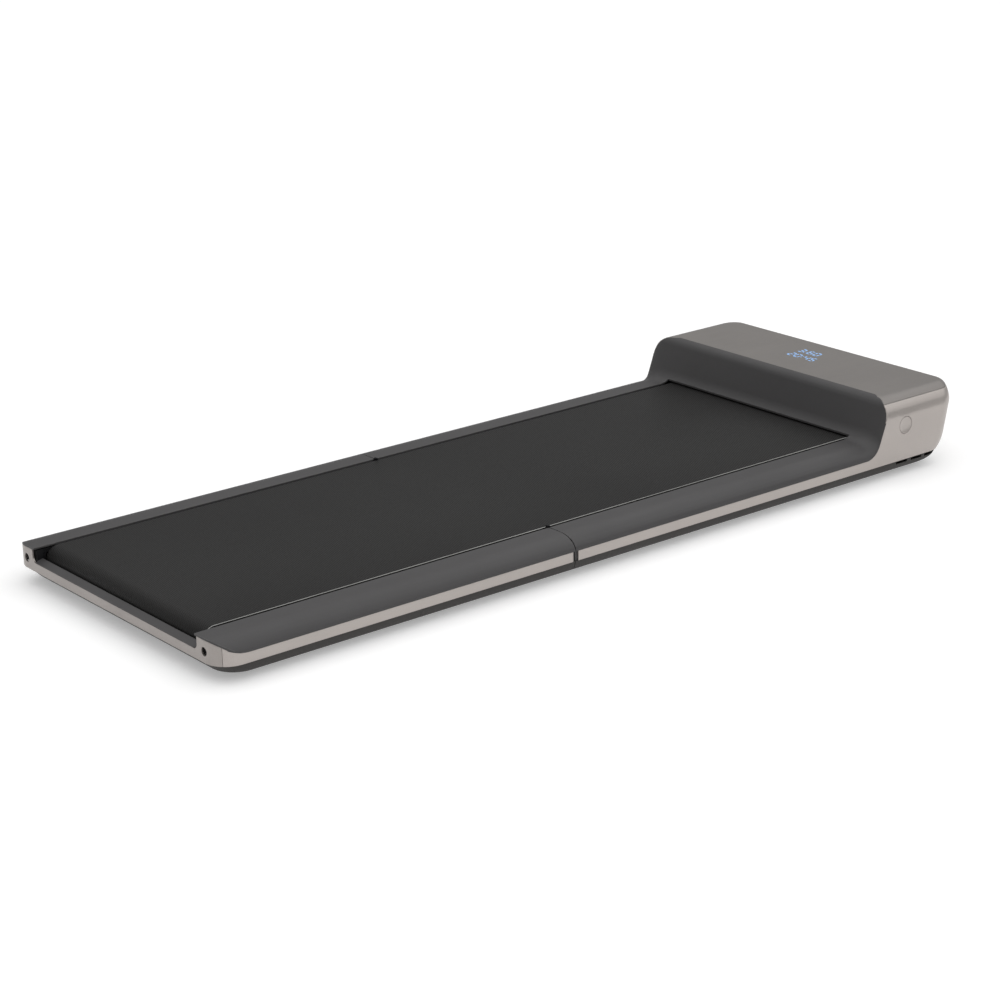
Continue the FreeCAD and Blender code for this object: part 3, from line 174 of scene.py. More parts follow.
def spread_values(tree, value, low, high, new_low, new_high):
    inputs = {0: value, 1: low, 2: high, 3: new_low, 4: new_high}
    return add(tree, "ShaderNodeMapRange", inputs).outputs[0]


def grey_of(tree, value):
    return add(tree, "ShaderNodeCombineColor", {0: value, 1: value, 2: value}).outputs[0]


def object_place(tree):
    return add(tree, "ShaderNodeTexCoord").outputs["Object"]


def new_group(name, kind, sockets):
    """Node group with (name, way, type, default) sockets; gives its tree, its input and its output."""
    tree = bpy.data.node_groups.new(name, kind)
    for label, way, socket_type, default in sockets:
        socket = tree.interface.new_socket(label, in_out=way, socket_type=socket_type)
        if default is not None:
            socket.default_value = default
    return tree, tree.nodes.new("NodeGroupInput"), tree.nodes.new("NodeGroupOutput")


FLOAT = "NodeSocketFloat"
COLOUR = "NodeSocketColor"
WHITE = (1.0, 1.0, 1.0, 1.0)
# What a group that makes a surface gives back
SURFACE_OUTPUTS = [("Colour", "OUTPUT", COLOUR, None), ("Roughness", "OUTPUT", FLOAT, None),
                   ("Height", "OUTPUT", FLOAT, None)]


# Effects that several finishes share

def moulded_surface_group():
    """Cloudy tone, fine grain, rubbed edges and a little uneven gloss."""
    name = "moulded surface"
    if name in bpy.data.node_groups:
        return bpy.data.node_groups[name]
    sockets = [
        ("Colour", "INPUT", COLOUR, WHITE), ("Roughness", "INPUT", FLOAT, 0.5),
        ("Grain", "INPUT", FLOAT, 900.0), ("Mottle", "INPUT", FLOAT, 0.08), ("Wear", "INPUT", FLOAT, 0.3),
    ] + SURFACE_OUTPUTS
    tree, given, result = new_group(name, "ShaderNodeTree", sockets)
    place = object_place(tree)
    cloud = noise(tree, place, 7.0, 4.0, 0.6)
    low = maths(tree, "SUBTRACT", 1.0, given.outputs["Mottle"])
    high = maths(tree, "ADD", 1.0, given.outputs["Mottle"])
    tone = spread_values(tree, cloud, 0.3, 0.7, low, high)
    fine = noise(tree, place, given.outputs["Grain"], 2.0)
    cells = {"Vector": place, "Scale": given.outputs["Grain"]}
    pits = add(tree, "ShaderNodeTexVoronoi", cells).outputs["Distance"]
    grain = maths(tree, "MULTIPLY_ADD", fine, 0.6, maths(tree, "MULTIPLY", pits, 0.5))
    speck = spread_values(tree, fine, 0.3, 0.7, 0.96, 1.04)
    shade = maths(tree, "MULTIPLY", tone, speck)
    grey = grey_of(tree, shade)
    toned = blend_colour(tree, "MULTIPLY", 1.0, given.outputs["Colour"], grey)
    edge = add(tree, "ShaderNodeAttribute", attribute_name="edge").outputs["Fac"]
    patchy = spread_values(tree, noise(tree, place, 140.0, 3.0), 0.35, 0.65, 0.15, 1.0)
    rubbed = maths(tree, "MULTIPLY", maths(tree, "MULTIPLY", edge, patchy), given.outputs["Wear"])
    pale = blend_colour(tree, "SCREEN", 1.0, toned, (0.16, 0.16, 0.16, 1.0))
    wipe = add(tree, "ShaderNodeMapping", {"Vector": place, "Scale": (26.0, 5.0, 26.0)}).outputs[0]
    smear = spread_values(tree, noise(tree, wipe, 1.0, 3.0), 0.3, 0.7, -0.05, 0.05)
    feed(tree, result, {"Colour": blend_colour(tree, "MIX", rubbed, toned, pale),
                        "Roughness": maths(tree, "ADD", given.outputs["Roughness"], smear), "Height": grain})
    return tree


def brushed_metal_group():
    """Fine lines along one way, with tone and gloss that follow them."""
    name = "brushed metal"
    if name in bpy.data.node_groups:
        return bpy.data.node_groups[name]
    sockets = [
        ("Colour", "INPUT", COLOUR, WHITE), ("Roughness", "INPUT", FLOAT, 0.3),
        ("Lines", "INPUT", "NodeSocketVector", (12.0, 900.0, 900.0)),
    ] + SURFACE_OUTPUTS
    tree, given, result = new_group(name, "ShaderNodeTree", sockets)
    place = object_place(tree)
    drawn = add(tree, "ShaderNodeMapping", {"Vector": place, "Scale": given.outputs["Lines"]}).outputs[0]
    lines = noise(tree, drawn, 1.0, 4.0, 0.6)
    stain = spread_values(tree, noise(tree, place, 22.0, 4.0), 0.3, 0.7, 0.88, 1.06)
    shade = maths(tree, "MULTIPLY", spread_values(tree, lines, 0.3, 0.7, 0.9, 1.08), stain)
    grey = grey_of(tree, shade)
    toned = blend_colour(tree, "MULTIPLY", 1.0, given.outputs["Colour"], grey)
    gloss = spread_values(tree, lines, 0.3, 0.7, -0.06, 0.08)
    feed(tree, result, {"Colour": toned, "Roughness": maths(tree, "ADD", given.outputs["Roughness"], gloss),
                        "Height": lines})
    return tree


def belt_tread_group():
    """Raised diamonds of the belt's tread, drawn on the belt's own length and width."""
    name = "belt tread"
    if name in bpy.data.node_groups:
        return bpy.data.node_groups[name]
    sockets = [
        ("Pitch", "INPUT", FLOAT, 0.004), ("Height", "OUTPUT", FLOAT, None),
        ("Valley", "OUTPUT", FLOAT, None), ("Fibre", "OUTPUT", FLOAT, None),
    ]
    tree, given, result = new_group(name, "ShaderNodeTree", sockets)
    surface = add(tree, "ShaderNodeUVMap", uv_map="length_and_width").outputs[0]
    parts = add(tree, "ShaderNodeSeparateXYZ", {0: surface})
    across = maths(tree, "DIVIDE", parts.outputs[0], given.outputs["Pitch"])
    longer = maths(tree, "MULTIPLY", given.outputs["Pitch"], 1.7)
    along = maths(tree, "DIVIDE", parts.outputs[1], longer)
    ridges = []
    for way in ("ADD", "SUBTRACT"):
        turn = maths(tree, "MULTIPLY", maths(tree, way, across, along), math.pi)
        ridges.append(maths(tree, "ABSOLUTE", maths(tree, "SINE", turn)))
    diamond = maths(tree, "MULTIPLY", ridges[0], ridges[1])
    fibre = noise(tree, surface, 1500.0, 3.0)
    relief = maths(tree, "MULTIPLY_ADD", fibre, 0.25, maths(tree, "POWER", diamond, 0.6))
    valley = spread_values(tree, diamond, 0.0, 0.35, 1.0, 0.0)
    feed(tree, result, {"Height": relief, "Valley": valley, "Fibre": fibre})
    return tree


# Finishes

def new_finish(name):
    finish = bpy.data.materials.new(name)
    finish.use_nodes = True
    tree = finish.node_tree
    tree.nodes.clear()
    shader = add(tree, "ShaderNodeBsdfPrincipled")
    add(tree, "ShaderNodeOutputMaterial", {"Surface": shader.outputs[0]})
    return finish, tree, shader


def use_group(tree, group, inputs):
    return add(tree, "ShaderNodeGroup", inputs, node_tree=group)


def raise_surface(tree, shader, height, depth):
    bump = add(tree, "ShaderNodeBump", {"Height": height, "Distance": depth, "Strength": 1.0})
    feed(tree, shader, {"Normal": bump.outputs[0]})


def show_surface(tree, shader, surface, depth):
    """Links what a surface group gives to the shader."""
    feed(tree, shader, {"Base Color": surface.outputs["Colour"], "Roughness": surface.outputs["Roughness"]})
    raise_surface(tree, shader, surface.outputs["Height"], depth)


def moulded(name, colour, roughness=0.5, grain=900.0, depth=0.02 * MM, mottle=0.05, wear=0.4, metallic=0.0,
            specular=0.5):
    """Injection-moulded plastic, paint or rubber."""
    finish, tree, shader = new_finish(name)
    values = {"Colour": (*colour, 1.0), "Roughness": roughness, "Grain": grain, "Mottle": mottle,
              "Wear": wear}
    show_surface(tree, shader, use_group(tree, moulded_surface_group(), values), depth)
    feed(tree, shader, {"Metallic": metallic, "Specular IOR Level": specular})
    return finish


def metal(name, colour, roughness, lines=(12.0, 900.0, 900.0)):
    """Drawn or turned metal."""
    finish, tree, shader = new_finish(name)
    values = {"Colour": (*colour, 1.0), "Roughness": roughness, "Lines": lines}
    show_surface(tree, shader, use_group(tree, brushed_metal_group(), values), 0.01 * MM)
    feed(tree, shader, {"Metallic": 1.0})
    return finish


def pressed_board():
    """Fibre board of the deck under its black waxed film."""
    finish, tree, shader = new_finish("waxed deck board")
    place = object_place(tree)
    drawn = add(tree, "ShaderNodeMapping", {"Vector": place, "Scale": (900.0, 260.0, 900.0)}).outputs[0]
    fibre = noise(tree, drawn, 1.0, 5.0, 0.7)
    colour = blend_colour(tree, "MIX", spread_values(tree, fibre, 0.3, 0.7, 0.0, 1.0),
                          (0.016, 0.015, 0.014, 1.0), (0.030, 0.027, 0.024, 1.0))
    feed(tree, shader, {"Base Color": colour, "Roughness": spread_values(tree, fibre, 0.3, 0.7, 0.6, 0.8)})
    raise_surface(tree, shader, fibre, 0.05 * MM)
    return finish


def circuit_board():
    """Green solder mask over copper tracks."""
    finish, tree, shader = new_finish("circuit board")
    place = object_place(tree)
    cells = add(tree, "ShaderNodeTexVoronoi", {"Vector": place, "Scale": 190.0}, distance="MANHATTAN",
                feature="F2").outputs["Distance"]
    track = spread_values(tree, cells, 0.42, 0.46, 0.0, 1.0)
    colour = blend_colour(tree, "MIX", track, (0.012, 0.085, 0.04, 1.0), (0.03, 0.19, 0.085, 1.0))
    feed(tree, shader, {"Base Color": colour, "Roughness": spread_values(tree, track, 0.0, 1.0, 0.3, 0.42)})
    raise_surface(tree, shader, track, 0.03 * MM)
    return finish


def belt_face():
    """Upper face of the belt: dark, with raised diamonds that are a little worn, and painted shade in the valleys
    between them.
    """
    settings = bpy.context.scene
    finish, tree, shader = new_finish("belt tread face")
    tread = use_group(tree, belt_tread_group(), {"Pitch": settings.pad_sizes.weave_pitch})
    place = object_place(tree)
    walked = spread_values(tree, noise(tree, place, 3.0, 4.0), 0.3, 0.7, 0.9, 1.12)
    tone = maths(tree, "MULTIPLY", walked, spread_values(tree, tread.outputs["Fibre"], 0.3, 0.7, 0.82, 1.18))
    grey = grey_of(tree, tone)
    raised = blend_colour(tree, "MULTIPLY", 1.0, (*settings.pad_colours.belt, 1.0), grey)
    # the valleys between the diamonds are darkened: painted shade in the tread's hollows
    valley_painted_shade = blend_colour(tree, "MULTIPLY", 1.0, raised, (0.45, 0.45, 0.45, 1.0))
    valley = tread.outputs["Valley"]
    feed(tree, shader, {"Base Color": blend_colour(tree, "MIX", valley, raised, valley_painted_shade),
                        "Roughness": spread_values(tree, valley, 0.0, 1.0, 0.5, 0.75),
                        "Specular IOR Level": 0.2})
    raise_surface(tree, shader, tread.outputs["Height"], 0.22 * MM)
    return finish


def lit_segments():
    """Digits that shine through the cover, a little uneven as lit diodes are."""
    finish, tree, shader = new_finish("display light")
    glow = (*bpy.context.scene.pad_colours.glow, 1.0)
    place = object_place(tree)
    uneven = spread_values(tree, noise(tree, place, 260.0, 2.0), 0.3, 0.7, 0.75, 1.1)
    grey = grey_of(tree, uneven)
    colour = blend_colour(tree, "MULTIPLY", 1.0, glow, grey)
    feed(tree, shader, {"Base Color": colour, "Emission Color": colour, "Emission Strength": 0.55,
                        "Roughness": 0.4})
    return finish


def make_finishes():
    """Every finish by the slot or the detail that it is for."""
    colours = bpy.context.scene.pad_colours
    return {
        "dark_plastic": moulded("dark moulded plastic", colours.rail, 0.46,
                                mottle=0.04, wear=0.35, specular=0.3),
        "light_plastic": moulded("warm grey satin paint", colours.panel, 0.36,
                                 mottle=0.03, wear=0.25, metallic=0.6),
        # the cover's colour is the panels' paint darkened as painted shade on the top
        "cover_plastic": moulded("satin paint darkened as painted shade on the cover", colours.cover, 0.38,
                                 mottle=0.04, wear=0.3, metallic=0.35),
        # the rear plate's finish is the panels' paint darkened as painted shade
        "plate_painted_shade": moulded("panel paint darkened as painted shade on the rear plate", colours.plate, 0.36,
                                 mottle=0.03, wear=0.25, metallic=0.6),
        "base_plastic": moulded("dark base plastic", colours.base, 0.58,
                                grain=700.0, depth=0.04 * MM, specular=0.25),
        "belt": moulded("belt underside cloth", (0.10, 0.098, 0.09), 0.85, grain=1600.0, depth=0.08 * MM),
        "frame_paint": moulded("black frame paint", (0.022, 0.022, 0.024), 0.42, grain=420.0, mottle=0.06),
        "steel": metal("drawn steel", (0.55, 0.55, 0.56), 0.30),
        "black_steel": metal("blackened steel", (0.035, 0.035, 0.037), 0.42),
        "deck": pressed_board(),
        "rubber": moulded("black rubber", (0.020, 0.020, 0.020), 0.78, grain=520.0, depth=0.06 * MM),
        "aluminium": metal("machined aluminium", (0.68, 0.69, 0.71), 0.26, (900.0, 30.0, 30.0)),
        "motor_can": moulded("motor can paint", (0.07, 0.072, 0.078), 0.36, grain=300.0, mottle=0.08),
        "board": circuit_board(),
        "black_plastic": moulded("black moulded plastic", (0.016, 0.016, 0.017), 0.36,
                                 grain=1100.0, wear=0.5),
        "brass": metal("plated brass", (0.70, 0.54, 0.25), 0.24, (900.0, 40.0, 900.0)),
        "lead": moulded("lead sleeve", (0.018, 0.018, 0.019), 0.52, grain=800.0),
        "belt_face": belt_face(),
        "belt_edge": moulded("cut belt edge", colours.belt_edge, 0.7, grain=1400.0, mottle=0.18, wear=0.0),
        "display": lit_segments(),
        "print": moulded("white print", (0.72, 0.72, 0.70), 0.5, grain=600.0),
    }


finishes = {}


# Short words for meshes

def put_in_scene(thing):
    bpy.context.scene.collection.objects.link(thing)


def new_piece(name, mesh, finish_names):
    """Object at the origin with its finishes, in the order of its face indices."""
    piece = bpy.data.objects.new(name, mesh)
    put_in_scene(piece)
    # clearing sets every face to the first finish, so a new mesh keeps its own indices
    if mesh.materials:
        mesh.materials.clear()
    for finish_name in finish_names:
        mesh.materials.append(finishes[finish_name])
    return piece


def settle(piece, body, nodes=()):
    """The piece rides on a body and stands for CAD nodes, which it hides."""
    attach(piece, body)
    if nodes:
        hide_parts(*nodes)


def mesh_of(work, name, smooth_angle=35.0):
    """Plain mesh of a bmesh, smooth except at sharp edges."""
    mesh = bpy.data.meshes.new(name)
    work.to_mesh(mesh)
    work.free()
    mesh.shade_smooth()
    mesh.set_sharp_from_angle(angle=math.radians(smooth_angle))
    return mesh


def turned(profile, turn, segments=48, closed=False):
    """Solid turned from (radius, height) points about +Z, then placed; a closed profile makes a ring."""
    work = bmesh.new()
    rings = []
    for radius, height in profile:
        if radius < 1e-7:
            rings.append([work.verts.new(turn @ Vector((0.0, 0.0, height)))])
            continue
        ring = []
        for index in range(segments):
            angle = math.tau * index / segments
            spot = Vector((radius * math.cos(angle), radius * math.sin(angle), height))
            ring.append(work.verts.new(turn @ spot))
        rings.append(ring)
    following = rings[1:] + rings[:1] if closed else rings[1:]
    for lower, upper in zip(rings, following):
        for index in range(segments):
            after = (index + 1) % segments
            corners = [lower[index % len(lower)], lower[after % len(lower)],
                       upper[after % len(upper)], upper[index % len(upper)]]
            face = list(dict.fromkeys(corners))
            if len(face) > 2:
                work.faces.new(face)
    bmesh.ops.recalc_face_normals(work, faces=work.faces)
    return work


def depth_beside(edge, face):
    """How far a face reaches from one of its edges."""
    start = edge.verts[0].co
    way = (edge.verts[1].co - start).normalized()
    reaches = [vertex.co - start for vertex in face.verts]
    return max((reach - way * reach.dot(way)).length for reach in reaches)


def can_round(edge, width):
    """Whether an edge is sharp and has room for a round on both its faces."""
    if not edge.is_manifold or edge.calc_face_angle() < math.radians(38.0):
        return False
    return min(depth_beside(edge, face) for face in edge.link_faces) > 2.0 * width


def rounded_copy(node, width, name):
    """Copy of a CAD node with its sharp edges rounded off and marked for wear."""
    work = bmesh.new()
    work.from_mesh(frame["nodes"][node].data)
    bmesh.ops.remove_doubles(work, verts=work.verts, dist=0.002 * MM)
    bmesh.ops.dissolve_limit(work, angle_limit=math.radians(0.3), verts=work.verts, edges=work.edges)
    worn = work.faces.layers.float.new("edge")
    sharp = [edge for edge in work.edges if can_round(edge, width)]
    made = bmesh.ops.bevel(work, geom=sharp, offset=width, offset_type="OFFSET", segments=2, profile=0.5,
                           affect="EDGES", clamp_overlap=False)
    for face in made["faces"]:
        face[worn] = 1.0
    return mesh_of(work, name, 40.0)


def even_normals(piece):
    """Flat faces stay flat beside their rounded edges."""
    modifier = piece.modifiers.new("even normals", "WEIGHTED_NORMAL")
    modifier.keep_sharp = True


def round_node(node, body, width, look):
    """Shows a CAD node with rounded edges in its place."""
    piece = new_piece(node + "_rounded", rounded_copy(node, width, node + "_rounded"), [look])
    even_normals(piece)
    settle(piece, body, [node])


def islands(node):
    """Lowest and highest corners of each separate solid in a CAD node."""
    work = bmesh.new()
    work.from_mesh(frame["nodes"][node].data)
    bmesh.ops.remove_doubles(work, verts=work.verts, dist=0.002 * MM)
    unseen = set(work.verts)
    corners = []
    while unseen:
        queue = [unseen.pop()]
        places = []
        while queue:
            vertex = queue.pop()
            places.append(vertex.co.copy())
            for edge in vertex.link_edges:
                other = edge.other_vert(vertex)
                if other in unseen:
                    unseen.remove(other)
                    queue.append(other)
        low = Vector([min(place[axis] for place in places) for axis in range(3)])
        high = Vector([max(place[axis] for place in places) for axis in range(3)])
        corners.append((low, high))
    work.free()
    return sorted(corners, key=lambda pair: tuple(round(value, 4) for value in pair[0]))


def undersides(solids):
    """Middle of the lower face of each solid."""
    return [((low.x + high.x) / 2, (low.y + high.y) / 2, low.z) for low, high in solids]


def plain_result(holder, helper):
    """Plain mesh of an object with its modifiers; the object and its helper are then removed."""
    mesh = bpy.data.meshes.new_from_object(holder.evaluated_get(bpy.context.evaluated_depsgraph_get()))
    for thing in (holder, helper):
        bpy.data.objects.remove(thing)
    return mesh


def carved(mesh, cutter, name):
    """Mesh with another closed mesh cut out of it."""
    body = bpy.data.objects.new(name, mesh)
    tool = bpy.data.objects.new(name + "_cutter", cutter)
    for thing in (body, tool):
        put_in_scene(thing)
    cut = body.modifiers.new("cut", "BOOLEAN")
    cut.operation = "DIFFERENCE"
    cut.object = tool
    cut.solver = "EXACT"
    result = plain_result(body, tool)
    if not result.polygons:
        raise RuntimeError(f"nothing is left of {name} after its cut")
    result.shade_smooth()
    result.set_sharp_from_angle(angle=math.radians(35.0))
    return result


def block(low, high, place=Matrix()):
    """Bmesh of an upright block between two corners."""
    work = bmesh.new()
    made = bmesh.ops.create_cube(work, size=1.0)
    low = Vector(low)
    high = Vector(high)
    for vertex in made["verts"]:
        share = vertex.co + Vector((0.5, 0.5, 0.5))
        spot = Vector([low[axis] + (high[axis] - low[axis]) * share[axis] for axis in range(3)])
        vertex.co = place @ spot
    return work


# Copies of one small piece at many places

def copies_tree():
    """Node tree that sets a piece on every point, turned by the point's own turn."""
    name = "copies on points"
    if name in bpy.data.node_groups:
        return bpy.data.node_groups[name]
    sockets = [
        ("Points", "INPUT", "NodeSocketGeometry", None), ("Piece", "INPUT", "NodeSocketObject", None),
        ("Finish", "INPUT", "NodeSocketMaterial", None), ("Copies", "OUTPUT", "NodeSocketGeometry", None),
    ]
    tree, given, result = new_group(name, "GeometryNodeTree", sockets)
    source = {"Object": given.outputs["Piece"]}
    piece = add(tree, "GeometryNodeObjectInfo", source, transform_space="ORIGINAL")
    turn = add(tree, "GeometryNodeInputNamedAttribute", {"Name": "turn"}, data_type="FLOAT_VECTOR")
    rotation = add(tree, "FunctionNodeEulerToRotation", {0: turn.outputs["Attribute"]})
    inputs = {"Points": given.outputs["Points"], "Instance": piece.outputs["Geometry"],
              "Rotation": rotation.outputs[0]}
    placed = add(tree, "GeometryNodeInstanceOnPoints", inputs)
    real = add(tree, "GeometryNodeRealizeInstances", {"Geometry": placed.outputs[0]})
    dressed = add(tree, "GeometryNodeSetMaterial",
                  {"Geometry": real.outputs[0], "Material": given.outputs["Finish"]})
    feed(tree, result, {"Copies": dressed.outputs[0]})
    return tree


def copies(name, mesh, places, finish_name, turns=None):
    """One plain mesh with a copy of a small mesh at each place."""
    points = bpy.data.meshes.new(name + "_points")
    points.from_pydata([tuple(place) for place in places], [], [])
    attribute = points.attributes.new("turn", "FLOAT_VECTOR", "POINT")
    for index, turn in enumerate(turns or [(0.0, 0.0, 0.0)] * len(places)):
        attribute.data[index].vector = turn
    holder = bpy.data.objects.new(name + "_holder", points)
    sample = bpy.data.objects.new(name + "_sample", mesh)
    for thing in (holder, sample):
        put_in_scene(thing)
    tree = copies_tree()
    labels = {item.name: item.identifier for item in tree.interface.items_tree if item.in_out == "INPUT"}
    modifier = holder.modifiers.new("copies", "NODES")
    modifier.node_group = tree
    modifier[labels["Piece"]] = sample
    modifier[labels["Finish"]] = finishes[finish_name]
    made = plain_result(holder, sample)
    if len(made.polygons) != len(mesh.polygons) * len(places):
        raise RuntimeError(f"{name} has the wrong number of copies")
    made.name = name
    return new_piece(name, made, [finish_name])


# The pieces

# Hinge metal in the gap beside the belt is blackened
DARK_NODES = ["hinge_arms_front", "hinge_arms_tail", "hinge_pins"]


class PAD_OT_finishes(Operator):
    """Makes the finishes and gives each CAD node the one of its slot"""
    bl_idname = "walking_pad.finishes"
    bl_label = "Finishes"

    def execute(self, context):
        finishes.update(make_finishes())
        for node, slot in slots.items():
            mesh = frame["nodes"][node].data
            mesh.materials.clear()
            mesh.materials.append(finishes["black_steel" if node in DARK_NODES else slot])
        return {"FINISHED"}


SHELLS = {
    "front": ["front_trim", "head_top_cover", "front_side_panel_right", "front_side_panel_left",
              "head_front_panel", "front_base_tray"],
    "tail": ["tail_rail_cover_right", "tail_rail_cover_left", "tail_side_strip_right", "tail_side_strip_left",
             "rear_end_plate", "rear_sill", "tail_tray_rear", "tail_tray_front"],
}


class PAD_OT_shells(Operator):
    """Rounds the edges of the covers, panels and trays"""
    bl_idname = "walking_pad.shells"
    bl_label = "Covers and trays"

    def execute(self, context):
        for body, nodes in SHELLS.items():
            for node in nodes:
                # the rear plate takes the panels' paint darkened as painted shade, not its slot's finish
                look = "plate_painted_shade" if node == "rear_end_plate" else slots[node]
                round_node(node, body, context.scene.pad_sizes.edge_round, look)
        return {"FINISHED"}


def run_lengths(start, end, step, fold_y, half_zone, fine_steps):
    """Places along a straight run of the belt, close together at the fold."""
    places = []
    count = max(2, round(abs(end - start) / step))
    for index in range(count + 1):
        y = start + (end - start) * index / count
        if abs(y - fold_y) > half_zone * 1.05:
            places.append(y)
    for index in range(fine_steps + 1):
        places.append(fold_y - half_zone + 2.0 * half_zone * index / fine_steps)
    return sorted(places, reverse=end < start)


class PAD_OT_belt(Operator):
    """One running belt round both rollers, with rows close together where the pad folds"""
    bl_idname = "walking_pad.belt"
    bl_label = "Running belt"
    run_step: number_setting("Step", "Spacing of the belt's rows on its runs", 0.02)
    fold_rows: IntProperty(name="Fold rows", description="Rows of faces across the fold", default=36)
    turn_rows: IntProperty(name="Turn rows", description="Rows of faces round a roller", default=28)

    def execute(self, context):
        low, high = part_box("running_belt_front")
        half = (high.x - low.x) / 2
        radius = high.z - front_roller_place.z
        thickness = 2.0 * MM
        half_zone = context.scene.pad_sizes.fold_stretch / 2
        rows = []
        top = run_lengths(front_roller_place.y, rear_roller_place.y, self.run_step, fold_place.y, half_zone,
                          self.fold_rows)
        rows.extend((y, front_roller_place.z, math.pi / 2) for y in top)
        around = [math.pi * index / self.turn_rows for index in range(1, self.turn_rows)]
        rows.extend((rear_roller_place.y, rear_roller_place.z, math.pi / 2 + turn) for turn in around)
        rows.extend((y, front_roller_place.z, -math.pi / 2) for y in reversed(top))
        rows.extend((front_roller_place.y, front_roller_place.z, turn - math.pi / 2) for turn in around)

        nick = 0.8 * MM
        section = [(-half + nick, 0.0), (half - nick, 0.0), (half, -nick), (half, nick - thickness),
                   (half - nick, -thickness), (nick - half, -thickness), (-half, nick - thickness),
                   (-half, -nick)]
        # tread above and on the sides, the pale cut edge on the upper chamfers, cloth below
        finish_of_side = [0, 1, 0, 0, 2, 0, 0, 1]
        work = bmesh.new()
        widths = work.loops.layers.uv.new("length_and_width")
        rings = []
        lengths = []
        travelled = 0.0
        before = None
        for y, z, angle in rows:
            outward = Vector((0.0, math.cos(angle), math.sin(angle)))
            centre = Vector((0.0, y, z)) + outward * radius
            if before is not None:
                travelled += (centre - before).length
            before = centre
            lengths.append(travelled)
            ring = []
            for x, depth in section:
                ring.append(work.verts.new(centre + Vector((x, 0.0, 0.0)) + outward * depth))
            rings.append(ring)
        loop_length = travelled + (Vector(rings[0][0].co) - Vector(rings[-1][0].co)).length
        for index, ring in enumerate(rings):
            after = (index + 1) % len(rings)
            end_length = lengths[after] if after else loop_length
            for side in range(len(section)):
                following = (side + 1) % len(section)
                corners = [ring[side], ring[following], rings[after][following], rings[after][side]]
                face = work.faces.new(corners)
                face.material_index = finish_of_side[side]
                ends = [lengths[index], lengths[index], end_length, end_length]
                for loop, length in zip(face.loops, ends):
                    loop[widths].uv = (loop.vert.co.x, length)
        bmesh.ops.recalc_face_normals(work, faces=work.faces)
        mesh = mesh_of(work, "running_belt", 50.0)
        belt = new_piece("running_belt", mesh, ["belt_face", "belt_edge", "belt"])
        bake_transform(belt)
        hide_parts("running_belt_front", "running_belt_tail")
        return {"FINISHED"}


# Segments that make each figure, named a to g from the top round to the bar in the middle
FIGURES = {"0": "abcdef", "1": "bc", "2": "abdeg", "3": "abcdg", "4": "bcfg", "5": "acdfg", "6": "acdefg",
           "7": "abc", "8": "abcdefg", "9": "abcdfg"}


class PAD_OT_display(Operator):
    """Figures that shine through the top cover, made of lit bars and dots"""
    bl_idname = "walking_pad.display"
    bl_label = "Display"

    def execute(self, context):
        sizes = context.scene.pad_sizes
        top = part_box("head_top_cover")[1].z
        bars = []
        turns = []
        dots = []
        # figures of a row, and the place of its middle
        rows = ((sizes.near_row, -2.0 * MM, 634.5 * MM), (sizes.far_row, -11.0 * MM, 662.0 * MM))
        for text, middle, centre_y in rows:
            self.lay_row(text, middle, centre_y, top, sizes, bars, turns, dots)
        half = sizes.digit_height / 4 - 0.15 * sizes.digit_stroke
        side = sizes.digit_stroke / 2
        outline = [(-half, 0.0), (side - half, -side), (half - side, -side), (half, 0.0), (half - side, side),
                   (side - half, side)]
        lit = copies("display_bars", self.plate(outline, "display_bar"), bars, "display", turns)
        settle(lit, "front")
        corner = side * math.sqrt(0.5)
        outline = [(side, 0.0), (corner, corner), (0.0, side), (-corner, corner), (-side, 0.0),
                   (-corner, -corner), (0.0, -side), (corner, -corner)]
        lit = copies("display_dots", self.plate(outline, "display_dot"), dots, "display")
        settle(lit, "front")
        return {"FINISHED"}

    def plate(self, outline, name):
        """Thin plate with a slightly smaller upper face."""
        thickness = 0.12 * MM
        work = bmesh.new()
        lower = [work.verts.new((x, y, -thickness)) for x, y in outline]
        upper = [work.verts.new((x * 0.98, y * 0.98, thickness)) for x, y in outline]
        work.faces.new(upper)
        work.faces.new(list(reversed(lower)))
        for index in range(len(outline)):
            after = (index + 1) % len(outline)
            work.faces.new([lower[index], lower[after], upper[after], upper[index]])
        return mesh_of(work, name)

    def lay_row(self, text, middle, centre_y, top, sizes, bars, turns, dots):
        """Adds the bars and dots of one row of figures."""
        high = sizes.digit_height
        wide = 0.64 * high
        gap = 2.6 * sizes.digit_stroke
        steps = [wide + gap if mark in FIGURES else gap for mark in text]
        x = middle - sum(steps) / 2
        places = {"a": (0.0, high / 2), "b": (wide / 2, high / 4), "c": (wide / 2, -high / 4),
                  "d": (0.0, -high / 2), "e": (-wide / 2, -high / 4), "f": (-wide / 2, high / 4),
                  "g": (0.0, 0.0)}
        for mark, step in zip(text, steps):
            centre_x = x + step / 2
            for segment in FIGURES.get(mark, ""):
                across, along = places[segment]
                bars.append((centre_x + across, centre_y + along, top))
                turns.append((0.0, 0.0, 0.0 if segment in "adg" else math.pi / 2))
            if mark == ":":
                dots.extend([(centre_x, centre_y + high / 5, top), (centre_x, centre_y - high / 5, top)])
            if mark == ".":
                dots.append((centre_x, centre_y - high / 2, top))
            x += step


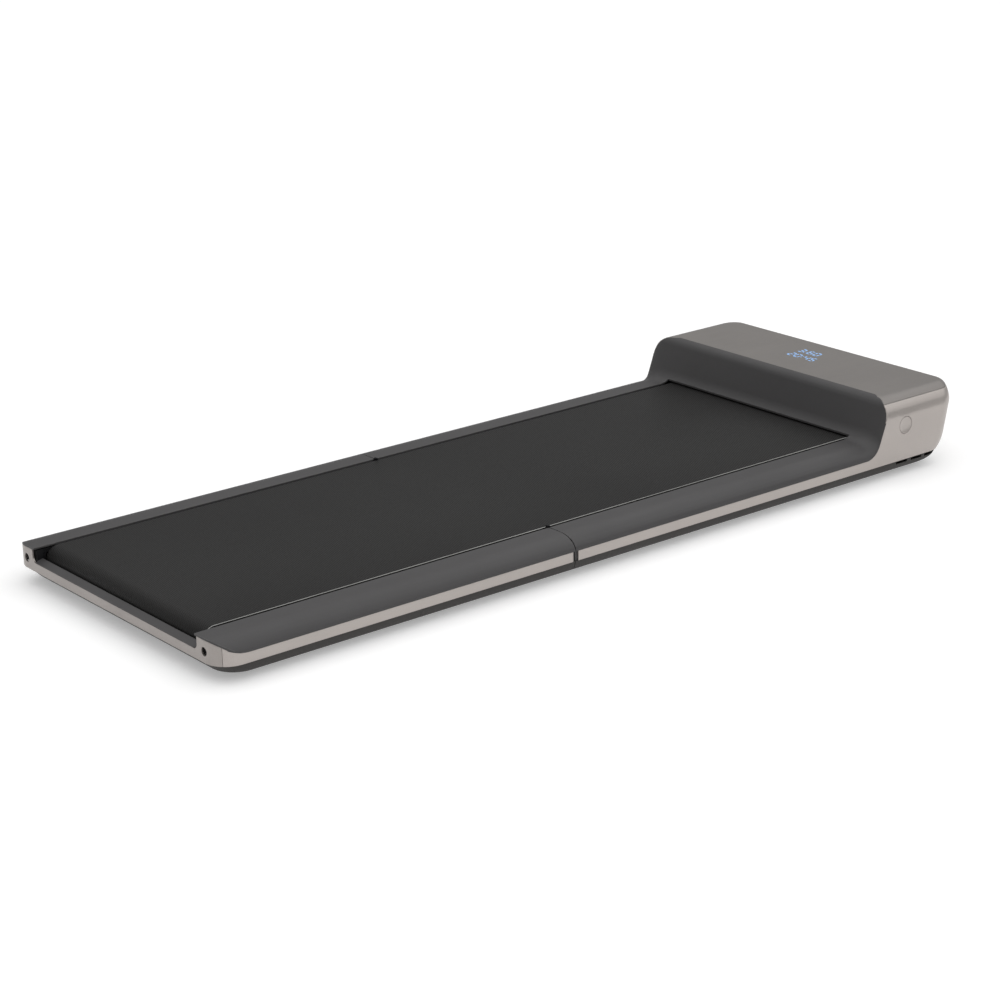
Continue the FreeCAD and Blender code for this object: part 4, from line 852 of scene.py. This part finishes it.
class PAD_OT_button(Operator):
    """Round push button with a rim and a hollow face"""
    bl_idname = "walking_pad.button"
    bl_label = "Push button"

    def execute(self, context):
        low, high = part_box("side_button")
        depth = context.scene.pad_sizes.dish_depth
        radius = (high.y - low.y) / 2
        centre = (low + high) / 2
        place = Matrix.Translation((high.x, centre.y, centre.z)) @ Matrix.Rotation(math.pi / 2, 4, "Y")
        stem = low.x - high.x
        cap = -5.0 * MM
        rim = 2.2 * MM
        profile = [(0.0, stem), (3.0 * MM, stem), (3.0 * MM, cap), (radius - 0.4 * MM, cap),
                   (radius, cap + 0.4 * MM), (radius, -0.8 * MM), (radius - 0.25 * MM, -0.3 * MM),
                   (radius - 0.8 * MM, 0.0), (radius - rim + 0.6 * MM, 0.0), (radius - rim, -0.35 * MM)]
        hollow = radius - rim
        for step in range(1, 9):
            share = 1.0 - step / 8
            profile.append((hollow * share, -0.35 * MM - (depth - 0.35 * MM) * (1.0 - share * share)))
        mesh = mesh_of(turned(profile, place, 72), "push_button", 50.0)
        button = new_piece("push_button", mesh, [slots["side_button"]])
        settle(button, "button", ["side_button"])
        return {"FINISHED"}


class PAD_OT_feet(Operator):
    """Ringed rubber feet under both halves"""
    bl_idname = "walking_pad.feet"
    bl_label = "Feet"

    def execute(self, context):
        for body, node in (("front", "front_feet"), ("tail", "tail_feet")):
            feet = islands(node)
            low, high = feet[0]
            radius = (high.x - low.x) / 2
            tall = high.z - low.z
            groove = 0.8 * MM
            profile = [(0.0, 3.0 * MM), (0.30 * radius, 3.0 * MM), (0.34 * radius, groove),
                       (0.38 * radius, 0.0)]
            for inner in (0.52, 0.70):
                profile.extend([(inner * radius, 0.0), ((inner + 0.03) * radius, groove),
                                ((inner + 0.07) * radius, groove), ((inner + 0.10) * radius, 0.0)])
            profile.extend([(0.90 * radius, 0.0), (0.97 * radius, 0.5 * MM), (radius, 1.6 * MM),
                            (radius, tall - 1.2 * MM), (0.95 * radius, tall), (0.0, tall)])
            mesh = mesh_of(turned(profile, Matrix(), 56), "foot", 40.0)
            places = undersides(feet)
            piece = copies("rubber_feet_" + body, mesh, places, "rubber")
            settle(piece, body, [node])
        return {"FINISHED"}


class PAD_OT_screws(Operator):
    """Cross-head screws that hold the trays"""
    bl_idname = "walking_pad.screws"
    bl_label = "Tray screws"

    def execute(self, context):
        for body, node in (("front", "front_tray_screws"), ("tail", "tail_tray_screws")):
            screws = islands(node)
            low, high = screws[0]
            radius = (high.x - low.x) / 2
            head = 1.6 * MM
            tall = high.z - low.z
            profile = [(0.0, 0.0), (0.45 * radius, 0.05 * MM), (0.78 * radius, 0.30 * MM),
                       (0.95 * radius, 0.75 * MM), (radius, head), (0.5 * radius, head), (0.5 * radius, tall),
                       (0.0, tall)]
            mesh = mesh_of(turned(profile, Matrix(), 40), "screw_plain")
            for index, (wide, long) in enumerate(((0.14, 0.55), (0.55, 0.14))):
                cutter = block((-wide * radius, -long * radius, -1.0 * MM),
                               (wide * radius, long * radius, 1.1 * MM))
                mesh = carved(mesh, mesh_of(cutter, "cross_cutter"), f"screw_cut_{index}")
            places = undersides(screws)
            turns = [(0.0, 0.0, 0.7 * index) for index in range(len(places))]
            piece = copies("cross_head_screws_" + body, mesh, places, "black_steel", turns)
            settle(piece, body, [node])
        return {"FINISHED"}


class PAD_OT_tension_bolts(Operator):
    """Hexagon-socket bolts in the rear plate that set the belt's tension"""
    bl_idname = "walking_pad.tension_bolts"
    bl_label = "Tension bolts"

    def execute(self, context):
        bolts = islands("tension_bolts")
        low, high = bolts[0]
        radius = (high.x - low.x) / 2
        head = 6.0 * MM
        long = high.y - low.y
        profile = [(0.0, 0.0), (0.86 * radius, 0.0), (0.97 * radius, 0.25 * MM), (radius, 0.7 * MM),
                   (radius, head - 0.2 * MM), (0.97 * radius, head), (0.72 * radius, head),
                   (0.72 * radius, long), (0.0, long)]
        along_y = Matrix.Rotation(-math.pi / 2, 4, "X")
        mesh = mesh_of(turned(profile, along_y, 48), "bolt_plain")
        hexagon = [(0.0, -1.0 * MM), (0.56 * radius, -1.0 * MM), (0.56 * radius, 3.4 * MM), (0.0, 4.4 * MM)]
        cutter = mesh_of(turned(hexagon, along_y, 6), "hexagon_cutter", 10.0)
        mesh = carved(mesh, cutter, "bolt_cut")
        places = [((low.x + high.x) / 2, low.y, (low.z + high.z) / 2) for low, high in bolts]
        piece = copies("socket_bolts", mesh, places, "black_steel")
        settle(piece, "tail", ["tension_bolts"])
        return {"FINISHED"}


class PAD_OT_wheels(Operator):
    """Transport wheels with a grooved tyre on a ribbed hub"""
    bl_idname = "walking_pad.wheels"
    bl_label = "Transport wheels"

    def execute(self, context):
        for side in ("right", "left"):
            node = "transport_wheel_" + side
            low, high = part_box(node)
            centre = (low + high) / 2
            radius = (high.z - low.z) / 2
            half = (high.x - low.x) / 2
            place = Matrix.Translation(centre) @ Matrix.Rotation(math.pi / 2, 4, "Y")
            seat = 0.68 * radius
            tyre = [(seat, -half + 0.8 * MM), (radius - 2.2 * MM, -half),
                    (radius - 0.7 * MM, -half + 0.8 * MM), (radius - 0.1 * MM, -half + 2.4 * MM)]
            for groove in (-0.36, 0.0, 0.36):
                middle = groove * half
                tyre.extend([(radius, middle - 1.0 * MM), (radius - 1.2 * MM, middle - 0.6 * MM),
                             (radius - 1.2 * MM, middle + 0.6 * MM), (radius, middle + 1.0 * MM)])
            tyre.extend([(radius - 0.1 * MM, half - 2.4 * MM), (radius - 0.7 * MM, half - 0.8 * MM),
                         (radius - 2.2 * MM, half), (seat, half - 0.8 * MM)])
            mesh = mesh_of(turned(tyre, place, 72, closed=True), "wheel_tyre_" + side, 30.0)
            settle(new_piece("wheel_tyre_" + side, mesh, ["rubber"]), "wheel_" + side, [node])
            bore = 4.05 * MM
            boss = 0.34 * radius
            edge = half - 1.0 * MM
            web = 0.22 * half
            rib_count = 6
            hub = [(bore, -edge), (boss, -edge), (boss + 0.4 * MM, -web), (seat - 2.2 * MM, -web),
                   (seat - 1.8 * MM, -edge), (seat, -edge), (seat, edge), (seat - 1.8 * MM, edge),
                   (seat - 2.2 * MM, web), (boss + 0.4 * MM, web), (boss, edge), (bore, edge)]
            mesh = mesh_of(turned(hub, place, 72, closed=True), "wheel_hub_" + side, 30.0)
            settle(new_piece("wheel_hub_" + side, mesh, ["black_plastic"]), "wheel_" + side)
            work = block((-0.75 * edge, -0.7 * MM, boss - 0.5 * MM),
                         (0.75 * edge, 0.7 * MM, seat - 1.5 * MM))
            rib = mesh_of(work, "rib")
            turns = [(math.tau * index / rib_count, 0.0, 0.0) for index in range(rib_count)]
            ribs = copies("wheel_ribs_" + side, rib, [centre] * rib_count, "black_plastic", turns)
            settle(ribs, "wheel_" + side)
        return {"FINISHED"}


class PAD_OT_power_entry(Operator):
    """Mains inlet and rocker switch with rounded edges, and plain marks on the rocker"""
    bl_idname = "walking_pad.power_entry"
    bl_label = "Power entry"

    def execute(self, context):
        for body, node in (("front", "power_inlet"), ("front", "switch_frame"), ("front", "inlet_pins"),
                           ("rocker", "power_rocker")):
            round_node(node, body, 0.35 * MM, slots[node])
        low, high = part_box("power_rocker")
        drop = (high.z - low.z) / 4
        bar = mesh_of(block((-0.35 * MM, -1.9 * MM, -0.1 * MM), (0.35 * MM, 1.9 * MM, 0.06 * MM)), "mark_bar")
        ring = [(1.5 * MM, -0.1 * MM), (2.2 * MM, -0.1 * MM), (2.2 * MM, 0.06 * MM), (1.5 * MM, 0.06 * MM)]
        circle = mesh_of(turned(ring, Matrix(), 36, closed=True), "mark_circle")
        shape = frame["nodes"]["power_rocker"].data
        rocker = BVHTree.FromPolygons([vertex.co for vertex in shape.vertices],
                                      [face.vertices for face in shape.polygons])
        for name, mesh, way in (("mark_line", bar, 1.0), ("mark_ring", circle, -1.0)):
            start = Vector((rocker_place.x, high.y + 20.0 * MM, rocker_place.z + way * drop))
            spot, outward = rocker.ray_cast(start, Vector((0.0, -1.0, 0.0)))[:2]
            if spot is None:
                raise RuntimeError("the rocker's face was not found")
            turn = outward.to_track_quat("Z", "Y").to_euler()
            mark = copies("rocker_" + name, mesh, [spot], "print", [tuple(turn)])
            settle(mark, "rocker")
        return {"FINISHED"}


class PAD_OT_stage(Operator):
    """Pale floor, soft studio light and the camera"""
    bl_idname = "walking_pad.stage"
    bl_label = "Stage"

    def execute(self, context):
        settings = context.scene.pad_stage
        self.lay_floor()
        self.light_world(context.scene, settings.sky)
        self.hang_lamp("soft_overhead", "SUN", (0.4, 0.6, 3.0), settings.key)
        self.hang_lamp("lamp_beside_camera", "AREA", (2.8, -0.4, 1.2), settings.side)
        self.stand_camera(context.scene, settings)
        context.scene.view_settings.view_transform = "Standard"
        return {"FINISHED"}

    def lay_floor(self):
        work = bmesh.new()
        bmesh.ops.create_grid(work, x_segments=2, y_segments=2, size=12.0)
        mesh = bpy.data.meshes.new("floor")
        work.to_mesh(mesh)
        work.free()
        floor = bpy.data.objects.new("floor", mesh)
        put_in_scene(floor)
        finish = bpy.data.materials.new("pale floor")
        finish.use_nodes = True
        tree = finish.node_tree
        tree.nodes.clear()
        paint = add(tree, "ShaderNodeBsdfDiffuse", {"Color": (0.80, 0.80, 0.80, 1.0)})
        rays = add(tree, "ShaderNodeLightPath")
        seen = rays.outputs["Is Camera Ray"]
        for kind in ("Is Glossy Ray", "Is Transmission Ray"):
            seen = maths(tree, "MAXIMUM", seen, rays.outputs[kind])
        lift = maths(tree, "MULTIPLY", seen, 0.32)
        light = add(tree, "ShaderNodeEmission", {"Color": WHITE, "Strength": lift})
        both = add(tree, "ShaderNodeAddShader", {0: paint.outputs[0], 1: light.outputs[0]})
        add(tree, "ShaderNodeOutputMaterial", {"Surface": both.outputs[0]})
        mesh.materials.append(finish)

    def light_world(self, scene, strength):
        world = bpy.data.worlds.new("white surroundings")
        world.use_nodes = True
        tree = world.node_tree
        tree.nodes.clear()
        rays = add(tree, "ShaderNodeLightPath")
        direction = add(tree, "ShaderNodeTexCoord").outputs["Generated"]
        height = add(tree, "ShaderNodeSeparateXYZ", {0: direction}).outputs[2]
        dome = spread_values(tree, height, 0.25, 0.75, 0.6 * strength, strength)
        level = spread_values(tree, rays.outputs["Is Camera Ray"], 0.0, 1.0, dome, 1.0)
        sky = add(tree, "ShaderNodeBackground", {"Color": WHITE, "Strength": level})
        add(tree, "ShaderNodeOutputWorld", {"Surface": sky.outputs[0]})
        scene.world = world

    def hang_lamp(self, name, kind, place, strength):
        lamp = bpy.data.lights.new(name, kind)
        lamp.energy = strength
        if kind == "SUN":
            lamp.angle = math.radians(110.0)
        else:
            lamp.shape = "DISK"
            lamp.size = 1.8
        holder = bpy.data.objects.new(name, lamp)
        holder.location = place
        holder.rotation_euler = (-Vector(place)).to_track_quat("-Z", "Y").to_euler()
        put_in_scene(holder)

    def stand_camera(self, scene, settings):
        azimuth = math.radians(settings.azimuth)
        elevation = math.radians(settings.elevation)
        roll = math.radians(settings.roll)
        back = Vector((math.sin(azimuth) * math.cos(elevation), -math.cos(azimuth) * math.cos(elevation),
                       math.sin(elevation)))
        level = Vector((math.cos(azimuth), math.sin(azimuth), 0.0))
        upright = back.cross(level)
        right = level * math.cos(roll) + upright * math.sin(roll)
        up = upright * math.cos(roll) - level * math.sin(roll)
        lens = bpy.data.cameras.new("photo_camera")
        lens.lens = settings.lens
        lens.sensor_width = 36.0
        lens.clip_end = 60.0
        camera = bpy.data.objects.new("photo_camera", lens)
        place = Vector((0.0, 0.0, settings.aim_height)) + right * settings.shift_right
        place = place + up * settings.shift_up + back * settings.distance
        turn = Matrix((right, up, back)).transposed().to_4x4()
        camera.matrix_world = Matrix.Translation(place) @ turn
        put_in_scene(camera)
        scene.camera = camera


OPERATORS = [PAD_OT_finishes, PAD_OT_shells, PAD_OT_belt, PAD_OT_display, PAD_OT_button, PAD_OT_feet,
             PAD_OT_screws, PAD_OT_tension_bolts, PAD_OT_wheels, PAD_OT_power_entry, PAD_OT_stage]


class PAD_PT_sidebar(Panel):
    """Lists the steps that dress the pad, and the settings that they read"""
    bl_label = "Walking pad"
    bl_idname = "PAD_PT_sidebar"
    bl_space_type = "VIEW_3D"
    bl_region_type = "UI"
    bl_category = "Walking pad"

    def draw(self, context):
        for operator in OPERATORS:
            self.layout.operator(operator.bl_idname)
        for group in (context.scene.pad_colours, context.scene.pad_sizes, context.scene.pad_stage):
            box = self.layout.box()
            for name in group.__annotations__:
                box.prop(group, name)


GROUPS = {"pad_colours": PadColours, "pad_sizes": PadSizes, "pad_stage": StageSettings}


def register():
    for group in GROUPS.values():
        bpy.utils.register_class(group)
    for name, group in GROUPS.items():
        setattr(bpy.types.Scene, name, PointerProperty(type=group))
    for operator in OPERATORS:
        bpy.utils.register_class(operator)
    bpy.utils.register_class(PAD_PT_sidebar)


def unregister():
    bpy.utils.unregister_class(PAD_PT_sidebar)
    for operator in reversed(OPERATORS):
        bpy.utils.unregister_class(operator)
    for name in GROUPS:
        delattr(bpy.types.Scene, name)
    for group in GROUPS.values():
        bpy.utils.unregister_class(group)


def main():
    register()
    for operator in OPERATORS:
        family, step = operator.bl_idname.split(".")
        getattr(getattr(bpy.ops, family), step)()


if __name__ == "__main__":
    main()
